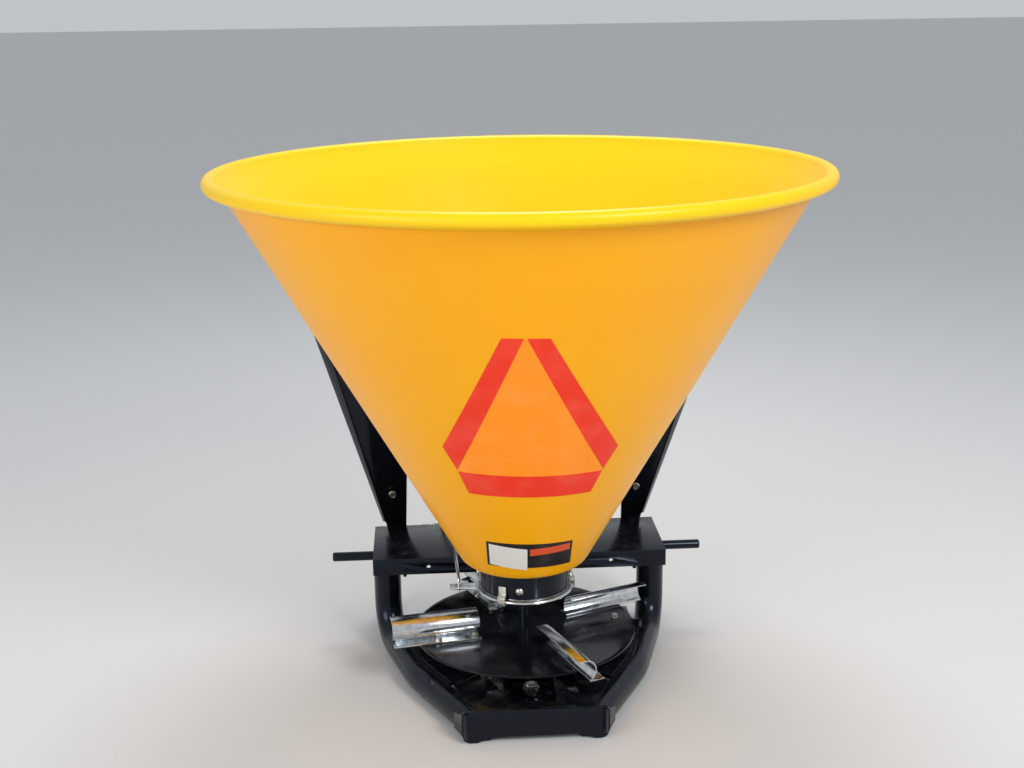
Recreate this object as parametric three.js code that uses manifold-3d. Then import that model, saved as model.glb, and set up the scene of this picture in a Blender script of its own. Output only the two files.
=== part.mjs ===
// Garden spreader for a three-point hitch: a poly cone hopper over a finned spinner disc, on a bent
// tube frame. Millimetres, +Z up. The origin is on the ground below the spinner shaft. +Y points to
// the tractor, -Y to the rear, and +X is the machine's right seen from the rear.

import * as THREE from 'three';
import { mergeVertices } from 'three/addons/utils/BufferGeometryUtils.js';
import Module from 'manifold-3d';

const wasm = await Module();
wasm.setup();

// ---------------------------------------------------------------- driving dimensions

const touchGap = 0.3; // left between pieces that seat on each other
const runGap = 0.6; // left between a shaft or bolt and its hole

// Spinner disc and its fins
const discTop = 114;
const discRadius = 249;
const discThickness = 4;
const finInnerRadius = 108;
const finLength = 197;
const finHeight = 50;
const finDepth = 36;
const finFlange = 19;
const finLipReach = 6; // how far the top lip reaches past the half pipe
const finToe = 2; // where the flange ends under the open side, from the fin's middle line
const finSheet = 2.5;
const finAngles = [22, 112, 190, 292];
const finBoltPlaces = [14, 96]; // from the inner end of each fin
const finBoltRadius = 4;

// Spinner shaft and agitator
const shaftRadius = 14;
const shaftTop = 352;
const agitatorReach = 80;
const agitatorRod = 6;

// Outlet: shutter ring, orifice plate and funnel, stacked above the disc
const spreadGap = 101; // from the disc to the underside of the shutter
const shutterThickness = 4;
const shutterRadius = 104;
const shutterBead = 4.5;
const shutterArmReach = 168;
const orificeThickness = 3;
const outletInner = 42;
const outletOuter = 88;
const outletSweep = 26; // degrees, also the travel of the shutter
const outletCount = 3;
const funnelHeight = 61.4;
const funnelLowerRadius = 100;
const funnelWall = 3;
const funnelBoltAngles = [-100, -10, 80, 170];
const clipAngles = [-121, 3, 119];

// Hopper
const hopperHeight = 873; // underside of the floor to the top of the lip
const rimRadius = 650;
const lipRadius = 14;
const lipFlare = 43; // from the top of the cone out to the edge of the lip
const lipRise = 38; // from the top of the cone to the top of the lip
const baseRadius = 136.3; // where the cone's outer line meets the floor
const hopperWall = 7;
const baseFillet = 34;
const floorOpening = 110;

// Cross channel that carries the hitch
const channelTop = 231;
const channelRear = 140; // Y of its rear face
const channelDepth = 216;
const channelWidth = 690;
const channelWall = 8;
const flangeDepth = 40;
const endPlateDepth = 54;
const standWidth = 26; // parking legs welded inside the front flange
const standFoot = 30;
const standPad = 6;

// Hitch
const pinHeight = 198;
const pinRadius = 11;
const pinLength = 100; // outside the end plate
const mastHeight = 460; // top-link pin above the lower pins
const mastHopperGap = 61; // from the cone to the top-link pin, at the height of the cheeks' tops
const mastGap = 52; // between the cheeks
const mastCheek = 8;
const mastFootX = 120;
const topPinRadius = 9.5;

// Loop tube on the ground
const tubeRadius = 31.75;
const tubeBend = 80;
const kneeX = 242;
const kneeY = -60;
const kneeBend = 320;
const rearX = 114;
const rearY = -304; // where the tubes meet the rear foot

// Rear foot and plates
const footHeight = 72;
const footThickness = 8;
const plateThickness = 3;
const bellyRise = 10.5; // from the top of the loop tube to the top of the belly plate
const bellyFront = 175;
const bellyCorner = -178;
const panFront = -120;
const gearSlot = 50; // half width of the slot for the gearbox

// Gearbox
const inputHeight = 52;
const gearTeeth = 14;
const gearPitchRadius = 28;
const gearToe = 19;
const inputRadius = 12.5;
const splineRadius = 17.5;
const inputFront = 285;
const boxHalfWidth = 46;
const boxHalfLength = 46;
const boxTop = 96;
const boxBottom = 16;
const boxWall = 8;
const noseLength = 32;
const saddleRear = -178;

// Posts beside the hopper
const postSheet = 5;
const postOuterX = 316;
const postInnerX = 268;
const postTopZ = 850;
const postLean = 20.3; // degrees from upright, towards the rear
const postMeetZ = 620; // where the inner edge reaches the cone

// Flow control
const leverX = -182;
const leverPivotZ = 215;
const leverLinkRise = 95;
const leverLength = 390;
const leverHandleLean = 25;
const leverThickness = 6;
const leverWidth = 30;
const leverTravel = 20; // degrees to each side of the rest place
const quadrantRadius = 235;
const linkRodRadius = 4;
const linkPinReach = 148;

// ---------------------------------------------------------------- sizes that follow

const deg = Math.PI / 180;
const discBottom = discTop - discThickness;
const shutterBottom = discTop + spreadGap;
const orificeBottom = shutterBottom + shutterThickness + touchGap;
const funnelBottom = orificeBottom + orificeThickness + touchGap;
const hopperFloor = funnelBottom + funnelHeight;
const rimTop = hopperFloor + hopperHeight;
const coneTopZ = rimTop - lipRise;
const coneTopRadius = rimRadius - lipFlare;
const coneSlope = (coneTopRadius - baseRadius) / (coneTopZ - hopperFloor);
const coneAngle = Math.atan(coneSlope);
const coneRadius = (z) => baseRadius + coneSlope * (z - hopperFloor);
const channelFront = channelRear + channelDepth;
const halfWidth = channelWidth / 2;
const legX = halfWidth - tubeRadius;
const legY = channelRear + channelWall + touchGap + tubeRadius;
const pinY = (channelRear + channelFront) / 2;
const mastPinZ = pinHeight + mastHeight;
const mastPinY = Math.round(coneRadius(mastPinZ + 30) + mastHopperGap);
const bellyTop = 2 * tubeRadius + bellyRise;
const leverPivotY = channelFront + 29;
const leverLinkZ = leverPivotZ + leverLinkRise;

// ---------------------------------------------------------------- finishes

function finish(color, roughness, metalness) {
  return new THREE.MeshStandardMaterial({ color, roughness, metalness });
}

const hopperPoly = () => finish('#f7b01c', 0.38, 0);
const blackPaint = () => finish('#17181b', 0.28, 0.1);
const galvanised = () => finish('#b9bec2', 0.35, 0.9);
const zincPlate = () => finish('#c9ccce', 0.3, 0.9);
const machinedSteel = () => finish('#8f9296', 0.35, 0.9);
const castIron = () => finish('#2a2c2f', 0.6, 0.3);
const shieldPlastic = () => finish('#1c1d1f', 0.5, 0);

// ---------------------------------------------------------------- shape helpers

function solid(geometry) {
  const bare = geometry.index ? geometry.toNonIndexed() : geometry.clone();
  bare.deleteAttribute('normal');
  bare.deleteAttribute('uv');
  const merged = mergeVertices(bare, 1e-4);
  const mesh = new wasm.Mesh({
    numProp: 3,
    vertProperties: new Float32Array(merged.attributes.position.array),
    triVerts: new Uint32Array(merged.index.array),
  });
  return new wasm.Manifold(mesh);
}

function geometryOf(manifold) {
  const mesh = manifold.getMesh();
  const geometry = new THREE.BufferGeometry();
  geometry.setAttribute('position', new THREE.BufferAttribute(new Float32Array(mesh.vertProperties), 3));
  geometry.setIndex(new THREE.BufferAttribute(new Uint32Array(mesh.triVerts), 1));
  geometry.computeVertexNormals();
  return geometry;
}

const union = (first, ...others) => others.reduce((sum, other) => sum.add(other), first);
const cut = (first, ...others) => others.reduce((rest, other) => rest.subtract(other), first);

function box(x0, x1, y0, y1, z0, z1) {
  const geometry = new THREE.BoxGeometry(x1 - x0, y1 - y0, z1 - z0);
  return solid(geometry.translate((x0 + x1) / 2, (y0 + y1) / 2, (z0 + z1) / 2));
}

// A round bar along one axis. The place gives the two other coordinates.
function bar(axis, radius, from, to, place, sides = 20) {
  const geometry = new THREE.CylinderGeometry(radius, radius, to - from, sides);
  const middle = (from + to) / 2;
  if (axis === 'x') geometry.rotateZ(Math.PI / 2).translate(middle, place[0], place[1]);
  if (axis === 'y') geometry.translate(place[0], middle, place[1]);
  if (axis === 'z') geometry.rotateX(Math.PI / 2).translate(place[0], place[1], middle);
  return solid(geometry);
}

// A ring turned about the vertical axis. The profile is [radius, z], outer side going up.
function turned(profile, sides = 32) {
  const points = profile.map(([radius, z]) => new THREE.Vector2(radius, z));
  const first = profile[0];
  const last = profile[profile.length - 1];
  if (first[0] > 0 || last[0] > 0) points.push(points[0].clone());
  return solid(new THREE.LatheGeometry(points, sides).rotateX(Math.PI / 2));
}

// The same, about an axis along Y at the given height. The profile is [radius, y].
function turnedAlongY(profile, height, sides = 24) {
  return turned(profile, sides).rotate([-90, 0, 0]).translate([0, 0, height]);
}

function shapeOf(points) {
  return new THREE.Shape(points.map(([x, y]) => new THREE.Vector2(x, y)));
}

// A flat plate in plan, from one height to another.
function planPlate(points, z0, z1) {
  const geometry = new THREE.ExtrudeGeometry(shapeOf(points), { depth: z1 - z0, bevelEnabled: false });
  return solid(geometry.translate(0, 0, z0));
}

// A flat plate whose outline is [y, z], from one x to another.
function sidePlate(points, x0, x1) {
  const geometry = new THREE.ExtrudeGeometry(shapeOf(points), { depth: x1 - x0, bevelEnabled: false });
  return solid(geometry.rotateX(Math.PI / 2).rotateZ(Math.PI / 2).translate(x0, 0, 0));
}

// A flat plate whose outline is [x, z], from one y to another.
function facePlate(points, y0, y1) {
  const geometry = new THREE.ExtrudeGeometry(shapeOf(points), { depth: y1 - y0, bevelEnabled: false });
  return solid(geometry.rotateX(Math.PI / 2).translate(0, y1, 0));
}

// A plate in any plane: outline in [u, v] on the plane, thickness to either side of it.
function planePlate(points, origin, alongU, alongV, thickness) {
  const settings = { depth: Math.abs(thickness), bevelEnabled: false };
  const geometry = new THREE.ExtrudeGeometry(shapeOf(points), settings);
  const normal = new THREE.Vector3().crossVectors(alongU, alongV);
  const place = new THREE.Matrix4().makeBasis(alongU, alongV, normal).setPosition(origin);
  return solid(geometry.translate(0, 0, Math.min(0, thickness)).applyMatrix4(place));
}

function mirrored(manifold) {
  return manifold.mirror([1, 0, 0]);
}

// A path of straight runs whose corners are rounded to the given radii.
function roundedPath(points, radii) {
  const path = new THREE.CurvePath();
  let start = points[0];
  for (let i = 1; i < points.length - 1; i += 1) {
    const corner = points[i];
    const back = points[i - 1].clone().sub(corner).normalize();
    const ahead = points[i + 1].clone().sub(corner).normalize();
    const turn = Math.PI - back.angleTo(ahead);
    const reach = radii[i - 1] * Math.tan(turn / 2);
    const handle = (4 / 3) * Math.tan(turn / 4) * radii[i - 1];
    const enter = corner.clone().addScaledVector(back, reach);
    const leave = corner.clone().addScaledVector(ahead, reach);
    path.add(new THREE.LineCurve3(start, enter));
    const enterHandle = enter.clone().addScaledVector(back, -handle);
    const leaveHandle = leave.clone().addScaledVector(ahead, -handle);
    path.add(new THREE.CubicBezierCurve3(enter, enterHandle, leaveHandle, leave));
    start = leave;
  }
  path.add(new THREE.LineCurve3(start, points[points.length - 1]));
  return path;
}

function rodAlong(path, radius, sides, steps) {
  const circle = [];
  for (let i = 0; i < sides; i += 1) {
    const angle = (2 * Math.PI * i) / sides;
    circle.push([radius * Math.cos(angle), radius * Math.sin(angle)]);
  }
  const settings = { extrudePath: path, steps, bevelEnabled: false };
  return solid(new THREE.ExtrudeGeometry(shapeOf(circle), settings));
}

function hexagon(acrossFlats) {
  const radius = acrossFlats / Math.sqrt(3);
  return [0, 60, 120, 180, 240, 300].map((a) => [radius * Math.cos(a * deg), radius * Math.sin(a * deg)]);
}

const vector = (x, y, z) => new THREE.Vector3(x, y, z);

// ---------------------------------------------------------------- hopper and outlet

const cornerAngle = Math.PI / 2 - coneAngle; // the turn from the hopper's floor to its cone
const filletReach = baseFillet * Math.tan(cornerAngle / 2);

function hopperShell() {
  const slant = hopperWall / Math.cos(coneAngle);
  const filletPoint = (radius, i) => {
    const angle = -Math.PI / 2 + (cornerAngle * i) / 4;
    return [
      baseRadius - filletReach + radius * Math.cos(angle),
      hopperFloor + baseFillet + radius * Math.sin(angle),
    ];
  };
  const profile = [[floorOpening, hopperFloor]];
  for (let i = 0; i <= 4; i += 1) profile.push(filletPoint(baseFillet, i));
  profile.push([coneTopRadius, coneTopZ]);
  const lip = [rimRadius - lipRadius, rimTop - lipRadius];
  for (let i = 0; i <= 6; i += 1) {
    const angle = (-70 + 40 * i) * deg;
    profile.push([lip[0] + lipRadius * Math.cos(angle), lip[1] + lipRadius * Math.sin(angle)]);
  }
  profile.push([coneTopRadius - slant, coneTopZ]);
  for (let i = 4; i >= 0; i -= 1) profile.push(filletPoint(baseFillet - hopperWall, i));
  profile.push([floorOpening, hopperFloor + hopperWall]);
  return turned(profile, 48);
}

// The funnel's outer radius at a height.
function funnelRadius(z) {
  const upperRadius = floorOpening - 4;
  return funnelLowerRadius + ((upperRadius - funnelLowerRadius) * (z - funnelBottom)) / funnelHeight;
}

function dischargeFunnel() {
  const flangeBottom = hopperFloor + hopperWall + touchGap;
  const top = flangeBottom + funnelWall;
  const waist = funnelRadius(flangeBottom);
  const flangeRadius = baseRadius - filletReach - 1;
  const funnel = turned([
    [funnelLowerRadius - funnelWall, funnelBottom],
    [funnelLowerRadius, funnelBottom],
    [waist, flangeBottom],
    [flangeRadius, flangeBottom],
    [flangeRadius, top],
    [waist - funnelWall, top],
  ], 32);
  return cut(funnel, ...funnelBoltAngles.map((angle) => funnelBoltHole(angle)));
}

const funnelBoltZ = funnelBottom + 22;

function funnelBoltHole(angle) {
  return bar('x', finBoltRadius + runGap, 80, 120, [0, funnelBoltZ], 12).rotate([0, 0, angle]);
}

// A carriage bolt through the funnel's wall: domed head outside, nut inside.
function funnelBolt(angle) {
  const wall = funnelRadius(funnelBoltZ);
  const seat = wall + touchGap + 1;
  const head = turned([[0, 0], [9, 0], [7.6, 3.4], [0, 5.6]], 12).rotate([0, 90, 0]);
  const nut = planPlate(hexagon(13), 0, 6).rotate([0, 90, 0]).translate([wall - funnelWall - 10, 0, 0]);
  const shank = bar('x', finBoltRadius, wall - funnelWall - 14, seat + 1, [0, 0], 8);
  const bolt = union(shank, head.translate([seat, 0, 0]), nut);
  return bolt.translate([0, 0, funnelBoltZ]).rotate([0, 0, angle]);
}

// One kidney-shaped outlet, as a cutter.
function outletCutter(angle, z0, z1) {
  const points = [];
  const half = outletSweep / 2;
  for (let i = 0; i <= 5; i += 1) {
    const a = (angle - half + (outletSweep * i) / 5) * deg;
    points.push([outletOuter * Math.cos(a), outletOuter * Math.sin(a)]);
  }
  for (let i = 5; i >= 0; i -= 1) {
    const a = (angle - half + (outletSweep * i) / 5) * deg;
    points.push([outletInner * Math.cos(a), outletInner * Math.sin(a)]);
  }
  return planPlate(points, z0, z1);
}

function outletAngles(turn) {
  return Array.from({ length: outletCount }, (_, i) => turn + (360 * i) / outletCount);
}

function orificePlate() {
  const top = orificeBottom + orificeThickness;
  const hole = shaftRadius + 1.5;
  const radius = shutterRadius - shutterBead;
  const plate = turned([[hole, orificeBottom], [radius, orificeBottom], [radius, top], [hole, top]], 36);
  return cut(plate, ...outletAngles(-90).map((angle) => outletCutter(angle, orificeBottom - 1, top + 1)));
}

// The shutter: a galvanised plate with a beaded edge and an arm. Drawn half open.
function shutterRing() {
  const top = shutterBottom + shutterThickness;
  const middle = (shutterBottom + top) / 2;
  const hole = shaftRadius + 4;
  const plate = turned([
    [hole, shutterBottom], [shutterRadius, shutterBottom], [shutterRadius, top], [hole, top],
  ], 36);
  const bead = [];
  for (let i = 0; i < 8; i += 1) {
    const angle = (45 * i + 22.5) * deg;
    const out = shutterBead * Math.cos(angle);
    bead.push([shutterRadius + 1.5 + out, middle + shutterBead * Math.sin(angle)]);
  }
  const slotHalf = linkRodRadius + 1;
  const arm = cut(
    planPlate([
      [-shutterRadius, -16], [-shutterRadius, 16], [-shutterArmReach, 12], [-shutterArmReach, -12],
    ], shutterBottom, top),
    box(-linkPinReach - 9, -linkPinReach + 9, -slotHalf, slotHalf, shutterBottom - 1, top + 1),
  );
  const ring = union(plate, turned(bead, 36));
  const outlets = outletAngles(-90 + outletSweep / 2).map((angle) => (
    outletCutter(angle, shutterBottom - 1, top + 1)
  ));
  return union(cut(ring, ...outlets), arm);
}

// A hooked clip on the funnel that holds the shutter up by its bead.
function shutterClip(angle) {
  const beadOuter = shutterRadius + 1.5 + shutterBead;
  const inner = beadOuter + 1;
  const sheet = 3;
  const hookTop = shutterBottom + shutterThickness / 2 - shutterBead - touchGap;
  const wallRadius = funnelRadius(funnelBottom + 30) + 1;
  const outline = [
    [shutterRadius - 6, hookTop - sheet], [inner + sheet, hookTop - sheet],
    [inner + sheet, funnelBottom + 5],
    [wallRadius + sheet, funnelBottom + 12], [wallRadius + sheet, funnelBottom + 30],
    [wallRadius, funnelBottom + 30], [wallRadius, funnelBottom + 9],
    [inner, funnelBottom + 2], [inner, hookTop], [shutterRadius - 6, hookTop],
  ];
  return facePlate(outline, -9, 9).rotate([0, 0, angle]);
}

// ---------------------------------------------------------------- spinner

function spinnerShaft() {
  return turned([
    [0, 11], [shaftRadius - 2, 11], [shaftRadius, 13], [shaftRadius, shaftTop - 3],
    [shaftRadius - 3, shaftTop], [0, shaftTop],
  ], 24);
}

function discHub() {
  const bore = shaftRadius + touchGap;
  return turned([
    [bore, boxTop + 3], [26, boxTop + 3], [26, discBottom - 10], [44, discBottom - 10],
    [44, discBottom - touchGap], [bore, discBottom - touchGap],
  ], 28);
}

// Where a fin's bolts stand, in the fin's own frame: x along the fin, y to its flange side.
const finBoltY = finDepth / 2 + finFlange / 2;

function finBoltCentres() {
  return finAngles.flatMap((angle, fin) => finBoltPlaces.map((along, place) => {
    const x = finInnerRadius + along;
    const cosine = Math.cos(angle * deg);
    const sine = Math.sin(angle * deg);
    return { fin, place, x: x * cosine - finBoltY * sine, y: x * sine + finBoltY * cosine };
  }));
}

function spinnerDisc() {
  const bore = shaftRadius + touchGap;
  const disc = turned([
    [bore, discBottom], [discRadius - 1, discBottom], [discRadius, discBottom + 1],
    [discRadius, discTop - 1], [discRadius - 1, discTop], [bore, discTop],
  ], 48);
  const holes = finBoltCentres().map(({ x, y }) => (
    bar('z', finBoltRadius + runGap, discBottom - 5, discTop + 5, [x, y], 8)
  ));
  return cut(disc, ...holes);
}

// A half-pipe fin, open on the side that pushes, with a bolting flange along its back.
function fin(angle) {
  const z0 = discTop + touchGap;
  const outer = finHeight / 2;
  const back = finDepth - outer;
  const flangeMeet = -Math.asin((outer - finSheet) / outer) / deg;
  const middle = back - finDepth / 2;
  const toeMeet = -Math.acos((finToe - middle) / (outer - finSheet)) / deg;
  const points = [];
  const ring = (radius, from, to) => {
    for (let i = 0; i <= 8; i += 1) {
      const a = (from + ((to - from) * i) / 8) * deg;
      points.push([middle + radius * Math.cos(a), z0 + outer + radius * Math.sin(a)]);
    }
  };
  const open = -finDepth / 2 - finLipReach;
  points.push([finToe, z0], [finDepth / 2 + finFlange, z0], [finDepth / 2 + finFlange, z0 + finSheet]);
  ring(outer, flangeMeet, 90);
  points.push([open, z0 + finHeight], [open, z0 + finHeight - finSheet]);
  ring(outer - finSheet, 90, toeMeet);
  const length = sidePlate(points, finInnerRadius, finInnerRadius + finLength);
  const holes = finBoltPlaces.map((along) => (
    bar('z', finBoltRadius + runGap, z0 - 5, z0 + 8, [finInnerRadius + along, finBoltY], 10)
  ));
  return cut(length, ...holes).rotate([0, 0, angle]);
}

// A hexagon-headed bolt with its washer on the flange and its nut under the disc.
function finBolt({ x, y }) {
  const seat = discTop + 2 * touchGap + finSheet;
  const under = discBottom - touchGap;
  const washer = bar('z', 8.5, seat, seat + 1.6, [0, 0], 12);
  const head = planPlate(hexagon(13), seat + 1.5, seat + 6.8);
  const nut = planPlate(hexagon(13), under - 6.5, under);
  const shank = bar('z', finBoltRadius, under - 8, seat + 2, [0, 0], 8);
  return union(shank, washer, head, nut).translate([x, y, 0]);
}

// A hub with two bent fingers that keeps the fertiliser moving over the outlets.
function agitator() {
  const hubBottom = shaftTop - 44;
  const hubTop = shaftTop - 12;
  const bore = shaftRadius + touchGap;
  const hub = turned([[bore, hubBottom], [24, hubBottom], [24, hubTop], [bore, hubTop]], 24);
  const middle = (hubBottom + hubTop) / 2;
  const low = funnelBottom + 24;
  const lowFinger = rodAlong(roundedPath([
    vector(20, 0, middle), vector(agitatorReach - 6, 0, middle), vector(agitatorReach - 6, 0, low),
  ], [16]), agitatorRod, 8, 14);
  const highFinger = rodAlong(roundedPath([
    vector(-20, 0, middle), vector(-agitatorReach, 0, middle), vector(-agitatorReach - 18, 0, middle + 52),
  ], [20]), agitatorRod, 8, 14);
  return union(hub, lowFinger, highFinger);
}

// ---------------------------------------------------------------- gearbox

const gearFaceHeel = gearPitchRadius;
const toothRise = 0.175; // the tip stands this much outside the pitch cone, as a share of the cone distance
const toothDrop = 0.2;

// A straight bevel gear on Z whose pitch cone opens upward from a tip at z = 0.
function bevelGear(boreRadius, hubRadius, hubLength, phase) {
  const outline = (distance) => {
    const tip = distance * (1 + toothRise);
    const root = distance * (1 - toothDrop);
    const step = 360 / gearTeeth;
    const points = [];
    for (let i = 0; i < gearTeeth; i += 1) {
      const middle = phase + step * i;
      points.push([root, middle - 0.3 * step], [tip, middle - 0.1 * step]);
      points.push([tip, middle + 0.1 * step], [root, middle + 0.3 * step]);
    }
    return points.map(([radius, angle]) => [
      radius * Math.cos(angle * deg), radius * Math.sin(angle * deg), distance,
    ]);
  };
  const toe = outline(gearToe);
  const heel = outline(gearFaceHeel);
  const count = toe.length;
  const positions = [...toe, ...heel, [0, 0, gearToe], [0, 0, gearFaceHeel]].flat();
  const faces = [];
  for (let i = 0; i < count; i += 1) {
    const next = (i + 1) % count;
    faces.push(i, next, count + next, i, count + next, count + i);
    faces.push(2 * count, next, i, 2 * count + 1, count + i, count + next);
  }
  const geometry = new THREE.BufferGeometry();
  geometry.setAttribute('position', new THREE.Float32BufferAttribute(positions, 3));
  geometry.setIndex(faces);
  const hub = bar('z', hubRadius, gearFaceHeel - 1, gearFaceHeel + hubLength, [0, 0], 20);
  const bore = bar('z', boreRadius, 0, gearFaceHeel + hubLength + 1, [0, 0], 20);
  return cut(union(solid(geometry), hub), bore);
}

function crownGear() {
  return bevelGear(shaftRadius + touchGap, 20, 5.7, 90).translate([0, 0, inputHeight]);
}

function bevelPinion() {
  const step = 360 / gearTeeth;
  const gear = bevelGear(inputRadius + touchGap, 18, 11, 90 + step / 2);
  return gear.rotate([-90, 0, 0]).translate([0, 0, inputHeight]);
}

const noseFront = boxHalfLength + noseLength;
const noseRadius = inputHeight - boxBottom;
const bearingOuter = 26;
const upperBearingBottom = inputHeight + gearPitchRadius + 6;

function gearboxHousing() {
  const shell = union(
    box(-boxHalfWidth, boxHalfWidth, -boxHalfLength, boxHalfLength, boxBottom, boxTop),
    bar('y', noseRadius, boxHalfLength - 1, noseFront, [0, inputHeight], 24),
    box(-boxHalfWidth - 32, boxHalfWidth + 32, -36, 36, bellyTop + touchGap, bellyTop + 8),
  );
  const inner = boxHalfWidth - boxWall;
  const cavity = box(-inner, inner, -inner, boxHalfLength - 6, boxBottom - 1, upperBearingBottom);
  const topBore = bar('z', bearingOuter + touchGap, upperBearingBottom - 1, boxTop + 1, [0, 0], 28);
  const seat = bearingOuter + touchGap;
  const frontBore = bar('y', seat, boxHalfLength - 7, noseFront + 1, [0, inputHeight], 28);
  const steadyBore = bar('y', 8 + runGap, -boxHalfLength - 1, -inner + 1, [0, inputHeight], 14);
  return cut(shell, cavity, topBore, frontBore, steadyBore);
}

function gearboxCover() {
  const top = boxBottom - touchGap;
  const inner = boxHalfWidth - boxWall - 1;
  const plate = union(
    box(-boxHalfWidth, boxHalfWidth, -boxHalfLength, boxHalfLength, top - 6, top),
    bar('z', inner - 14, top - 1, top + 6, [0, 0], 24),
  );
  return cut(plate, bar('z', shaftRadius + 6, top - 5, top + 7, [0, 0], 24));
}

function ringBearing(inner, outer, z0, z1) {
  return turned([[inner, z0], [outer, z0], [outer, z1], [inner, z1]], 20);
}

function upperBearing() {
  return ringBearing(shaftRadius + touchGap, bearingOuter, upperBearingBottom + touchGap, boxTop - 0.5);
}

function lowerBush() {
  return ringBearing(shaftRadius + touchGap, shaftRadius + 5.7, boxBottom - 5, boxBottom + 5);
}

function inputBearing(i) {
  const start = boxHalfLength - 6 + touchGap + 19 * i;
  const ring = ringBearing(inputRadius + touchGap, bearingOuter, start, start + 12);
  return ring.rotate([-90, 0, 0]).translate([0, 0, inputHeight]);
}

function inputShaft() {
  const points = [];
  for (let i = 0; i < 6; i += 1) {
    for (const [depth, offset] of [[3, -16], [0, -14], [0, 14], [3, 16]]) {
      const radius = splineRadius - depth;
      const angle = (60 * i + offset) * deg;
      points.push([radius * Math.cos(angle), radius * Math.sin(angle)]);
    }
  }
  const splineRear = inputFront - 92;
  const spline = facePlate(points, splineRear, inputFront).translate([0, 0, inputHeight]);
  const lockGroove = turnedAlongY([
    [splineRadius - 3.2, inputFront - 40], [splineRadius + 2, inputFront - 40],
    [splineRadius + 2, inputFront - 31], [splineRadius - 3.2, inputFront - 31],
  ], inputHeight, 20);
  const journal = bar('y', inputRadius, gearToe, splineRear + 1, [0, inputHeight], 24);
  const collar = bar('y', splineRadius - 1.5, noseFront + 12, splineRear + 1, [0, inputHeight], 24);
  return union(cut(spline, lockGroove), journal, collar);
}

function bearingCap() {
  const outer = noseRadius;
  const y0 = noseFront + touchGap;
  return turnedAlongY([
    [inputRadius + 1.5, y0], [outer, y0], [outer, y0 + 7], [outer - 12, y0 + 9],
    [inputRadius + 1.5, y0 + 9],
  ], inputHeight);
}

function ptoShield() {
  const outer = inputHeight - 8;
  const y0 = noseFront + 12;
  const wall = 3;
  return turnedAlongY([
    [splineRadius + 3, y0], [outer - 12, y0], [outer - 4, y0 + 12],
    [outer, inputFront - 20], [outer, inputFront + 4],
    [outer - wall, inputFront + 4], [outer - wall, inputFront - 20],
    [outer - 4 - wall, y0 + 12 + wall], [outer - 14, y0 + wall], [splineRadius + 3, y0 + wall],
  ], inputHeight, 24);
}

function gearboxSaddle() {
  const half = boxHalfWidth;
  const floorTop = boxBottom - 6 - 2 * touchGap;
  const floorBottom = floorTop - 5;
  const cheekFront = -boxHalfLength + 20;
  const cheekTop = 2 * tubeRadius - 1;
  const saddle = union(
    box(-half - 6.5, half + 6.5, saddleRear, boxHalfLength, floorBottom, floorTop),
    box(-half - 6.5, -half - 0.5, saddleRear, cheekFront, floorBottom, cheekTop),
    box(half + 0.5, half + 6.5, saddleRear, cheekFront, floorBottom, cheekTop),
    box(-half - 6.5, half + 6.5, saddleRear, saddleRear + 8, floorBottom, cheekTop),
    box(-40, 40, rearY + touchGap, saddleRear + 1, 24, 30),
  );
  return cut(saddle, bar('y', 8 + runGap, saddleRear - 1, saddleRear + 9, [0, inputHeight], 14));
}

function saddleBolt() {
  const head = facePlate(hexagon(24), saddleRear - 14, saddleRear - 3).translate([0, 0, inputHeight]);
  const washer = bar('y', 18, saddleRear - 3.5, saddleRear - touchGap, [0, inputHeight], 24);
  const shank = bar('y', 8, saddleRear - 4, -boxHalfLength + 6, [0, inputHeight], 14);
  return union(head, washer, shank);
}

// ---------------------------------------------------------------- frame

const tubeAxisZ = tubeRadius;
const kneePoint = vector(kneeX, kneeY, tubeAxisZ);
const rearPoint = vector(rearX, rearY, tubeAxisZ);
const rearRun = rearPoint.clone().sub(kneePoint).normalize();

function loopTube() {
  const path = roundedPath([
    vector(legX, legY, channelTop - channelWall - touchGap),
    vector(legX, legY, tubeAxisZ),
    kneePoint,
    rearPoint.clone().addScaledVector(rearRun, 40),
  ], [tubeBend, kneeBend]);
  const tube = rodAlong(path, tubeRadius, 16, 30);
  const beyond = box(0, halfWidth, rearY - 200, rearY + touchGap, -50, 200);
  return cut(tube, beyond);
}

function rearFoot() {
  const end = rearX + tubeRadius + 9;
  const toe = 12;
  const face = [
    [-end, 20], [-end + 5, 6], [-end + 16, 0], [-end + 32, 0], [-end + 46, 7], [-end + 60, toe],
    [end - 60, toe], [end - 46, 7], [end - 32, 0], [end - 16, 0], [end - 5, 6], [end, 20],
    [end, footHeight - 6], [end - 6, footHeight], [-end + 6, footHeight], [-end, footHeight - 6],
  ];
  const plate = facePlate(face, rearY - footThickness, rearY);
  const outward = vector(-rearRun.y, rearRun.x, 0);
  const offset = tubeRadius + 0.5;
  const start = rearPoint.clone().addScaledVector(outward, offset).addScaledVector(rearRun, 2);
  const wing = planePlate(
    [[0, 14], [0, footHeight - 2], [-52, footHeight - 16], [-52, 20]],
    vector(start.x, start.y, 0), rearRun, vector(0, 0, 1), -5,
  );
  return { plate, wing };
}

function rearFootSolid() {
  const { plate, wing } = rearFoot();
  return union(plate, wing, mirrored(wing));
}

// X of the tube's centre line at a place along Y, on the low run.
function tubeX(y) {
  const from = y > kneeY ? vector(legX, legY, 0) : kneePoint;
  const to = y > kneeY ? kneePoint : rearPoint;
  return from.x + ((to.x - from.x) * (y - from.y)) / (to.y - from.y);
}

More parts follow.
